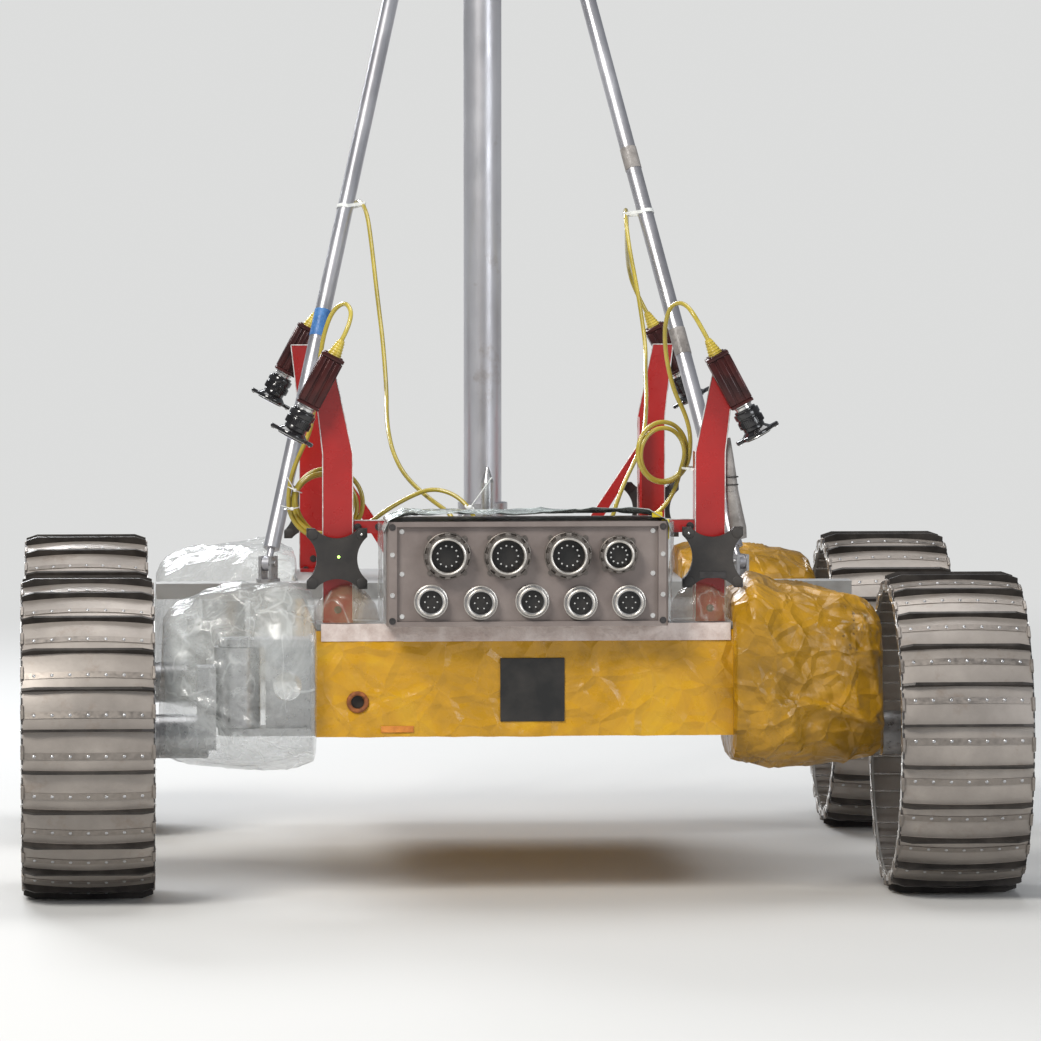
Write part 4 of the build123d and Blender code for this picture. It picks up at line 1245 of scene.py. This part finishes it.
# Posts, pods and bars
POST_INNER, POST_OUTER, POST_Y, POST_FACE = .264, .310, .570, .002
POST_KNEE, POST_TOP, POST_LEAN, POST_TOP_WIDTH = .690, .812, .026, .034
POST_BOLT_Z, POST_FOOT, POST_FOOT_BOLTS = .450, .005, (.280, .300)
BAR_Y, BAR_TOP, BAR_MIDDLE = -.568, .5872, .577
POD_X, POD_Z, POD_HALF = .289, .530, .0465
POD_LOW, POD_HIGH, POD_KNOB, POD_BALL = .582, .598, .009, .0375


def edge_line(points, radius=.0009):
    """A thin pale line along an edge: a painted highlight where light rims it."""
    return [add_rod(start, end, radius, 6) for start, end in zip(points, points[1:])]


def bolt_heads(spots, axis, radius=.0040, rise=.0028):
    heads = []
    for spot in spots:
        spot, run = Vector(spot), Vector(axis) * rise
        heads.append(add_rod(spot, spot + run, radius, 6))
        heads.append(add_rod(spot, spot + run * .35, radius * 1.45, 16))
    return heads


def dress_posts():
    edges, bolts = [], []
    for _, side_x, side_y in CORNERS:
        face = side_y * POST_Y - POST_FACE
        lines = []
        for x, top in ((POST_INNER, POST_INNER + POST_LEAN),
                       (POST_OUTER, POST_INNER + POST_LEAN + POST_TOP_WIDTH)):
            lines.append([(side_x * x, face, DECK_Z + .004), (side_x * x, face, POST_KNEE),
                          (side_x * top, face, POST_TOP)])
        edges += edge_line(lines[0]) + edge_line(lines[1]) + edge_line([lines[0][-1], lines[1][-1]])
        middle = side_x * (POST_INNER + POST_OUTER) / 2
        bolts += bolt_heads([(middle, face, POST_BOLT_Z)], (0, -1, 0))
        foot_y = side_y * (POST_Y - .020)
        bolts += bolt_heads([(side_x * x, foot_y, DECK_Z + POST_FOOT) for x in POST_FOOT_BOLTS],
                            (0, 0, 1))
    for side in (-1, 1):
        edges += edge_line([(side * .215, BAR_Y - .0002, BAR_TOP),
                            (side * POST_INNER, BAR_Y - .0002, BAR_TOP)])
        bolts += bolt_heads([(side * .224, BAR_Y, BAR_MIDDLE), (side * .256, BAR_Y, BAR_MIDDLE)],
                            (0, -1, 0))
        edges += edge_line([(side * .264, -BAR_Y, .640), (side * .124, -BAR_Y, DECK_Z + .001)])
    # The pale lines along the posts', bars' and struts' edges are painted highlights
    add_fixed("painted_edge_highlights", edges, "red_paint", "bare_edge")
    add_fixed("post_bolts", bolts, "steel", "dark_metal")


def dress_pods():
    knobs, balls = [], []
    for _, side_x, side_y in CORNERS:
        x = side_x * POD_X
        low, high = sorted((side_y * POD_LOW, side_y * POD_HIGH))
        for dx in (-1, 1):
            for dz in (-1, 1):
                knob_x, z = x + dx * (POD_HALF - POD_KNOB), POD_Z + dz * (POD_HALF - POD_KNOB)
                knobs.append(add_rod((knob_x, low - .0015, z), (knob_x, high + .0015, z), .0085,
                                     20, bevel=.002))
        face = low - .0025 if side_y < 0 else high + .0025
        balls.append(add_ball((x - side_x * POD_BALL, face, POD_Z + POD_BALL), .0024))
    add_fixed("pod_knobs", knobs, "black_plastic", "moulded_black")
    add_fixed("pod_balls", balls, "bare_aluminium", "bright_metal")
    add_fixed("pod_strip", [add_box((.268, -.5989, .498), (.309, -.5978, .508), .0004)],
              "grey_paint", "dark_metal", None)
    add_fixed("pod_light", [add_ball((-.2865, -.5985, .533), .0022)],
              "black_plastic", "green_light", None)


# Connector box: each receptacle's middle, radius and length, as the CAD solids have them
LARGE = (((-.123, .538), .036, .024), ((-.031, .538), .036, .024), ((.062, .538), .036, .024),
         ((.139, .539), .029, .022))
SMALL = (((-.148, .468), .026, .016), ((-.072, .466), .026, .016), ((.007, .468), .026, .016),
         ((.081, .465), .026, .016), ((.155, .466), .026, .016))
PANEL_FACE = -.652
INSERT, PINS_LARGE, PINS_SMALL, NOTCHES = .672, 11, 6, 12
GLANDS, GLAND_Y = (-.055, -.086, .125, .170), -.488
DECK_SCREWS_X, DECK_SCREWS_Y = (-.28, -.14, 0, .14, .28), (-.500, .400, .585)


def ring_at(x, z, y, radius, thickness):
    return add_ring((x, y, z), (0, 1, 0), radius, thickness, 48, 8)


def pins_round(x, z, count, reach, start, end, radius):
    """A circle of contact pins in a receptacle."""
    pins = []
    for n in range(count):
        turn = math.tau * n / count
        across, up = x + reach * math.cos(turn), z + reach * math.sin(turn)
        pins.append(add_rod((across, PANEL_FACE - start, up), (across, PANEL_FACE - end, up),
                            radius, 8))
    return pins


def dress_receptacles():
    rims, collars, pins, bottoms = [], [], [], []
    for (x, z), radius, length in LARGE:
        face = PANEL_FACE - length
        rims.append(ring_at(x, z, face + .0004, radius * .74, .0021))
        bottoms.append(add_rod((x, PANEL_FACE - .0050, z), (x, PANEL_FACE - .0075, z),
                               radius * INSERT, 40))
        pins += pins_round(x, z, PINS_LARGE, radius * .44, .007, .0140, .0014)
        notch = add_box((x + radius * .84, face + .0005, z - .0045),
                        (x + radius * .97, face + .0115, z + .0045), .0008, 1)
        collars += turned(notch, Vector((x, 0, z)), NOTCHES, "Y")
        collars.append(ring_at(x, z, PANEL_FACE - .0052, radius * .97, .0016))
        reach = radius * .93 * .80
        collars += bolt_heads([(x + dx * reach, PANEL_FACE - .0005, z + dz * reach)
                               for dx in (-1, 1) for dz in (-1, 1)], (0, -1, 0), .0028, .0030)
    for (x, z), radius, length in SMALL:
        face = PANEL_FACE - length
        rims.append(ring_at(x, z, face + .0006, radius * .78, .0022))
        rims.append(ring_at(x, z, PANEL_FACE - .0045, radius * .95, .0016))
        bottoms.append(add_rod((x, PANEL_FACE - .0050, z), (x, PANEL_FACE - .0070, z),
                               radius * INSERT, 40))
        pins += pins_round(x, z, PINS_SMALL, .0095, .0065, .0120, .0012)
    add_fixed("receptacle_rims", rims, "connector_metal", "pale_ring")
    add_fixed("receptacle_lugs", collars, "connector_metal", "collar_metal")
    add_fixed("receptacle_pins", pins, "connector_metal", "bright_metal")
    add_fixed("receptacle_floors", bottoms, "black_plastic", "black_plate")


def dress_box():
    face, front, up = BOX_LOW.y, (0, -1, 0), (0, 0, 1)
    dark = bolt_heads([(x, face, z) for x in (-.207, .207) for z in (.4385, .5820)], front, .0036)
    silver = bolt_heads([(x, face, z) for x in (-.207, .207) for z in (.478, .540)], front, .0026)
    silver += bolt_heads([(x, PANEL_FACE, z) for x in (-.192, .192) for z in (.445, .510, .575)],
                         front, .0026, .0020)
    for x in DECK_SCREWS_X:
        silver += bolt_heads([(x, y, DECK_Z) for y in DECK_SCREWS_Y], up, .0032, .0022)
    add_fixed("box_screws_dark", dark, "steel", "dark_metal")
    add_fixed("box_screws_silver", silver, "steel", "bright_metal")
    nuts = []
    for x in GLANDS:
        nuts.append(add_rod((x, GLAND_Y, DECK_Z), (x, GLAND_Y, DECK_Z + .006), .0125, 6))
        nuts.append(add_rod((x, GLAND_Y, DECK_Z + .0062), (x, GLAND_Y, DECK_Z + .0150), .0100, 12,
                            bevel=.0008))
    add_fixed("gland_nuts", nuts, "steel", "dark_metal")


# Tapes, ties and straps
def strap(first, second, radius_first, radius_second, axis, width, thickness=.0010):
    """A flat band pulled round two round things."""
    first, second, axis = Vector(first), Vector(second), Vector(axis).normalized()
    along = second - first
    along = (along - axis * along.dot(axis)).normalized()
    side = axis.cross(along)
    bpy.ops.object.select_all(action="DESELECT")
    bpy.ops.mesh.primitive_cylinder_add(vertices=48, radius=1, depth=width, end_fill_type="NOTHING")
    item = bpy.context.object
    for vertex in item.data.vertices:
        spot = vertex.co.copy()
        centre, radius = (first, radius_first) if spot.x < 0 else (second, radius_second)
        vertex.co = centre + (along * spot.x + side * spot.y) * radius + axis * spot.z
    apply_modifier(item, "SOLIDIFY", thickness=thickness, offset=1.0)
    return item


def coil_tie(coil, turn, tail=(0, 0, .02)):
    """A tie round the bundle of a coil, with its head and tail."""
    centre, radius, sideways = coil[:3]
    angle = math.tau * turn
    spot = centre + sideways * radius * math.cos(angle) + Vector((0, 0, radius * math.sin(angle)))
    tangent = Vector((0, 0, 1)) * math.cos(angle) - sideways * math.sin(angle)
    around = add_ring(spot, tangent, .0118, .0009, 40, 8)
    normal = sideways.cross(Vector((0, 0, 1)))
    head, half = spot + normal * .0125, Vector((.0024, .0020, .0024))
    return [around, add_box(head - half, head + half, .0005),
            add_rod(head, head + Vector(tail), .0008, 6)]


# The taped wires behind the front right post: points and radii, top to bottom
WRAP = (((.3150, -.560, .712), .0040), ((.3165, -.561, .690), .0062), ((.3190, -.562, .655), .0090),
        ((.3215, -.562, .630), .0098), ((.3260, -.561, .600), .0118),
        ((.3310, -.560, .572), .0132), ((.3340, -.560, .556), .0110))
# Where the rear cords hang from the braces: side, share of the brace's length, the cord's middle
HANGS = ((-1, .414, (-.216, .217, 1.057)), (1, .408, (.217, .226, 1.039)))
# Tape on the braces, from and to a share of their length
BLUE_TAPE, GREY_TAPES, TAPE_RADIUS = (.262, .293), ((.24, .27), (.46, .485)), .0137


def brace_point(side, share):
    low, high = Vector((side * .380, -.050, .485)), Vector((side * .055, .560, 1.850))
    return low.lerp(high, share)


def brace_band(side, ends, radius):
    return add_rod(brace_point(side, ends[0]), brace_point(side, ends[1]), radius, 32)


def dress_ties():
    ties = coil_tie(COIL_FL, .43, (-.012, -.002, .020))
    ties += coil_tie(COIL_FL, .52, (-.020, -.002, .006))
    ties.append(strap((.259, -.485, .662), (.267, -.531, .662), .0125, .0050, (0, 0, 1), .0035))
    knot = Vector((-.079, -.474, .600))
    front = knot + Vector((0, -.008, 0))
    ties += [add_ring(knot, (.35, -.3, .8), .0068, .0017, 24, 8), add_ball(front, .0048),
             add_rod(front, knot + Vector((.034, -.014, .048)), .0011, 6),
             add_rod(front, knot + Vector((-.020, -.012, -.022)), .0011, 6)]
    for side, share, spot in HANGS:
        axis = brace_point(side, 1) - brace_point(side, 0)
        ties.append(strap(brace_point(side, share), spot, .0135, .0042, axis, .006))
    add_fixed("cable_ties", ties, "grey_paint", "tie_nylon", 40)
    add_fixed("brace_tape_blue", [brace_band(-1, BLUE_TAPE, .0136)], "grey_paint", "blue_tape")
    wraps = [brace_band(1, ends, TAPE_RADIUS) for ends in GREY_TAPES]
    wraps += [add_rod(first[0], second[0], first[1], 20, tip=second[1])
              for first, second in zip(WRAP, WRAP[1:])]
    add_fixed("grey_wraps", wraps, "grey_paint", "grey_tape")
    dark = [add_ring((.3203, -.5620, z), (0, 0, 1), .0102, .0011, 24, 6) for z in (.640, .652)]
    add_fixed("wrap_ties", dark, "black_plastic", "moulded_black")
    bits = [add_box((.190, -.662, .596), (.206, -.650, .604), .001),
            add_box((.206, -.650, .562), (.2175, -.640, .592), .001)]
    add_fixed("yellow_bits", bits, "amber_film", "yellow_film", None)


# Finishes of the frame's own nodes
NODE_FINISHES = (
    ("deck_plate", "deck_metal"), ("connector_box", "box_sheet"), ("connector_panel", "box_sheet"),
    ("large_receptacles", "collar_metal"), ("small_receptacles", "machined_metal"),
    ("front_crossbars", "red_paint"), ("rear_struts", "red_paint"), ("mast", "tube_metal"),
    ("mast_foot", "machined_metal"), ("mast_collar", "machined_metal"),
    ("brace_left", "tube_metal"), ("brace_right", "tube_metal"),
    ("brace_clevises", "machined_metal"), ("cross_beam", "deck_metal"),
    ("stub_post", "machined_metal"), ("chassis_tub", "amber_film"),
)
CORNER_FINISHES = (("wheel_hub", "spoke_metal"), ("knuckle", "machined_metal"),
                   ("arm", "machined_metal"), ("post", "red_paint"),
                   ("marker_pod", "moulded_black"))


def paint_frame():
    for name, material in NODE_FINISHES:
        paint_node(name, finish_named(material))
    for corner, _, _ in CORNERS:
        for name, material in CORNER_FINISHES:
            paint_node(f"{name}_{corner}", finish_named(material))
        paint_node(f"wheel_drum_{corner}", tread_skin(corner))


# Stage
BACKGROUND = (0.72, 0.725, 0.72)
FLOOR, FLOOR_SIZE = (0.62, 0.62, 0.61), 120
# The floor turns into the background between these distances
FADE_FROM, FADE_TO = 1.5, 6.0
AMBIENT, AMBIENT_STRENGTH = (0.62, 0.65, 0.70), 0.34
# Name, place, aim, size, power, colour
LIGHTS = (
    ("key", (-2.8, -4.2, 4.4), (0, -.3, .5), (1.8, 1.8), 300, (1.0, 0.97, 0.92)),
    ("fill", (3.6, -4.4, 1.9), (0, 0, .45), (2.4, 1.6), 75, (0.93, 0.96, 1.0)),
    ("top", (0.2, 0.6, 4.8), (0, 0, .4), (3.0, 3.0), 110, (1.0, 1.0, 1.0)),
    ("rim", (-1.8, 4.4, 3.0), (0, 0, .7), (2.0, 1.4), 190, (0.95, 0.97, 1.0)),
)
CAMERA_PLACE = (-.69, -11.6, 1.293)
CAMERA_TURN = (math.radians(86.34), 0, math.radians(-3.55))
CAMERA_LENS, CAMERA_SENSOR, CAMERA_FAR = 249, 36, 200


def add_light(name, place, aim, size, power, color):
    turn = (Vector(aim) - Vector(place)).to_track_quat("-Z", "Y").to_euler()
    bpy.ops.object.light_add(type="AREA", location=place, rotation=turn)
    light = bpy.context.object
    light.name = name
    light.data.shape = "RECTANGLE"
    light.data.size, light.data.size_y = size
    light.data.energy = power
    light.data.color = color


def add_world():
    world = bpy.data.worlds.new("studio")
    bpy.context.scene.world = world
    world.use_nodes = True
    tree = world.node_tree
    tree.nodes.clear()
    out = tree.nodes.new("ShaderNodeOutputWorld")
    mix = tree.nodes.new("ShaderNodeMixShader")
    seen = tree.nodes.new("ShaderNodeBackground")
    lit = tree.nodes.new("ShaderNodeBackground")
    seen.inputs["Color"].default_value = (*BACKGROUND, 1)
    seen.inputs["Strength"].default_value = 1.0
    lit.inputs["Color"].default_value = (*AMBIENT, 1)
    lit.inputs["Strength"].default_value = AMBIENT_STRENGTH
    path = tree.nodes.new("ShaderNodeLightPath")
    most = tree.nodes.new("ShaderNodeMath")
    most.operation = "MAXIMUM"
    tree.links.new(path.outputs["Is Camera Ray"], most.inputs[0])
    tree.links.new(path.outputs["Is Transmission Ray"], most.inputs[1])
    tree.links.new(most.outputs[0], mix.inputs["Fac"])
    tree.links.new(lit.outputs[0], mix.inputs[1])
    tree.links.new(seen.outputs[0], mix.inputs[2])
    tree.links.new(mix.outputs[0], out.inputs["Surface"])


def add_floor():
    """A pale floor that keeps the shadows near the rover and fades into the background."""
    bpy.ops.object.select_all(action="DESELECT")
    bpy.ops.mesh.primitive_plane_add(size=FLOOR_SIZE)
    floor = named(bpy.context.object, "floor")
    pale = Surface("pale floor", FLOOR, 0.8)
    away = pale.add("ShaderNodeMapRange", interpolation_type="SMOOTHSTEP")
    for name, value in (("Value", pale.length(pale.place())), ("From Min", FADE_FROM),
                        ("From Max", FADE_TO)):
        pale.feed(away.inputs[name], value)
    fade = away.outputs["Result"]
    pale.set("Base Color", pale.mix(fade, FLOOR, (0.0, 0.0, 0.0)))
    pale.set("Specular IOR Level", pale.math("MULTIPLY", pale.math("SUBTRACT", 1.0, fade), 0.4))
    pale.set("Emission Color", BACKGROUND)
    pale.set("Emission Strength", fade)
    floor.data.materials.append(pale.material)


def add_stage():
    add_floor()
    for light in LIGHTS:
        add_light(*light)
    bpy.ops.object.camera_add(location=CAMERA_PLACE, rotation=CAMERA_TURN)
    camera = bpy.context.object
    camera.data.sensor_width = CAMERA_SENSOR
    camera.data.lens = CAMERA_LENS
    camera.data.clip_end = CAMERA_FAR
    bpy.context.scene.camera = camera
    add_world()
    bpy.context.scene.view_settings.view_transform = "Standard"


# One operator for each piece or group of like pieces
class ROVER_OT_stage(bpy.types.Operator):
    """Add the floor, the lights, the world and the camera"""
    bl_idname = "rover.stage"
    bl_label = "Stage"

    def execute(self, context):
        add_stage()
        return {"FINISHED"}


class ROVER_OT_cords(bpy.types.Operator):
    """Add the four camera cords along their routes"""
    bl_idname = "rover.cords"
    bl_label = "Cords"

    def execute(self, context):
        for cord in CORDS:
            add_cord(*cord)
        return {"FINISHED"}


class ROVER_OT_frame_finishes(bpy.types.Operator):
    """Give the frame's own nodes their finishes"""
    bl_idname = "rover.frame_finishes"
    bl_label = "Frame finishes"

    def execute(self, context):
        paint_frame()
        return {"FINISHED"}


class ROVER_OT_corner_films(bpy.types.Operator):
    """Add the crumpled film over each corner"""
    bl_idname = "rover.corner_films"
    bl_label = "Corner films"

    def execute(self, context):
        for corner in CORNERS:
            add_corner_film(*corner)
        return {"FINISHED"}


class ROVER_OT_body_film(bpy.types.Operator):
    """Add the film on the body's sides"""
    bl_idname = "rover.body_film"
    bl_label = "Body film"

    def execute(self, context):
        add_body_film()
        return {"FINISHED"}


class ROVER_OT_body_trim(bpy.types.Operator):
    """Add the tapes, the plate and the port's ring on the body's front"""
    bl_idname = "rover.body_trim"
    bl_label = "Body trim"

    def execute(self, context):
        add_body_trim()
        return {"FINISHED"}


class ROVER_OT_wheel_trim(bpy.types.Operator):
    """Add the feet, rivets, clips, rim teeth, scalloped rings and bolts of the wheels"""
    bl_idname = "rover.wheel_trim"
    bl_label = "Wheel trim"

    def execute(self, context):
        dress_wheels()
        return {"FINISHED"}


class ROVER_OT_heads(bpy.types.Operator):
    """Add the four camera heads"""
    bl_idname = "rover.heads"
    bl_label = "Camera heads"

    def execute(self, context):
        dress_heads()
        return {"FINISHED"}


class ROVER_OT_post_trim(bpy.types.Operator):
    """Add the painted highlights along the posts' edges, and the posts' bolts"""
    bl_idname = "rover.post_trim"
    bl_label = "Post trim"

    def execute(self, context):
        dress_posts()
        return {"FINISHED"}


class ROVER_OT_pod_trim(bpy.types.Operator):
    """Add the marker pods' knobs, strip and light"""
    bl_idname = "rover.pod_trim"
    bl_label = "Pod trim"

    def execute(self, context):
        dress_pods()
        return {"FINISHED"}


class ROVER_OT_receptacles(bpy.types.Operator):
    """Add the receptacles' rims, lugs, floors and pins"""
    bl_idname = "rover.receptacles"
    bl_label = "Receptacles"

    def execute(self, context):
        dress_receptacles()
        return {"FINISHED"}


class ROVER_OT_box_trim(bpy.types.Operator):
    """Add the screws of box and deck and the cord glands' nuts"""
    bl_idname = "rover.box_trim"
    bl_label = "Box trim"

    def execute(self, context):
        dress_box()
        return {"FINISHED"}


class ROVER_OT_box_films(bpy.types.Operator):
    """Add the foil over the box and the film at its sides"""
    bl_idname = "rover.box_films"
    bl_label = "Box films"

    def execute(self, context):
        add_box_foil()
        add_box_scraps()
        return {"FINISHED"}


class ROVER_OT_foot_films(bpy.types.Operator):
    """Add the film bunched at the front posts' feet"""
    bl_idname = "rover.foot_films"
    bl_label = "Foot films"

    def execute(self, context):
        add_foot_films()
        return {"FINISHED"}


class ROVER_OT_ties(bpy.types.Operator):
    """Add the ties, straps and tapes"""
    bl_idname = "rover.ties"
    bl_label = "Ties and tapes"

    def execute(self, context):
        dress_ties()
        return {"FINISHED"}


PIECES = (ROVER_OT_stage, ROVER_OT_cords, ROVER_OT_frame_finishes, ROVER_OT_corner_films,
          ROVER_OT_body_film, ROVER_OT_body_trim, ROVER_OT_wheel_trim, ROVER_OT_heads,
          ROVER_OT_post_trim, ROVER_OT_pod_trim, ROVER_OT_receptacles, ROVER_OT_box_trim,
          ROVER_OT_box_films, ROVER_OT_foot_films, ROVER_OT_ties)


class ROVER_PT_pieces(bpy.types.Panel):
    """Sizes, colours and pieces of the rover"""
    bl_idname = "ROVER_PT_pieces"
    bl_label = "Planetary rover prototype"
    bl_space_type = "VIEW_3D"
    bl_region_type = "UI"
    bl_category = "Rover"

    def draw(self, context):
        for group in (context.scene.rover_sizes, context.scene.rover_finishes):
            box = self.layout.box()
            for name in group.__annotations__:
                box.prop(group, name)
        for piece in PIECES:
            self.layout.operator(piece.bl_idname)


CLASSES = (RoverFinishes, RoverSizes, *PIECES, ROVER_PT_pieces)


def register():
    noise.seed_set(NOISE_SEED)
    for item in CLASSES:
        bpy.utils.register_class(item)
    bpy.types.Scene.rover_finishes = PointerProperty(type=RoverFinishes)
    bpy.types.Scene.rover_sizes = PointerProperty(type=RoverSizes)


def unregister():
    del bpy.types.Scene.rover_finishes
    del bpy.types.Scene.rover_sizes
    for item in reversed(CLASSES):
        bpy.utils.unregister_class(item)


def main():
    register()
    for piece in PIECES:
        group, name = piece.bl_idname.split(".")
        getattr(getattr(bpy.ops, group), name)()


if __name__ == "__main__":
    main()
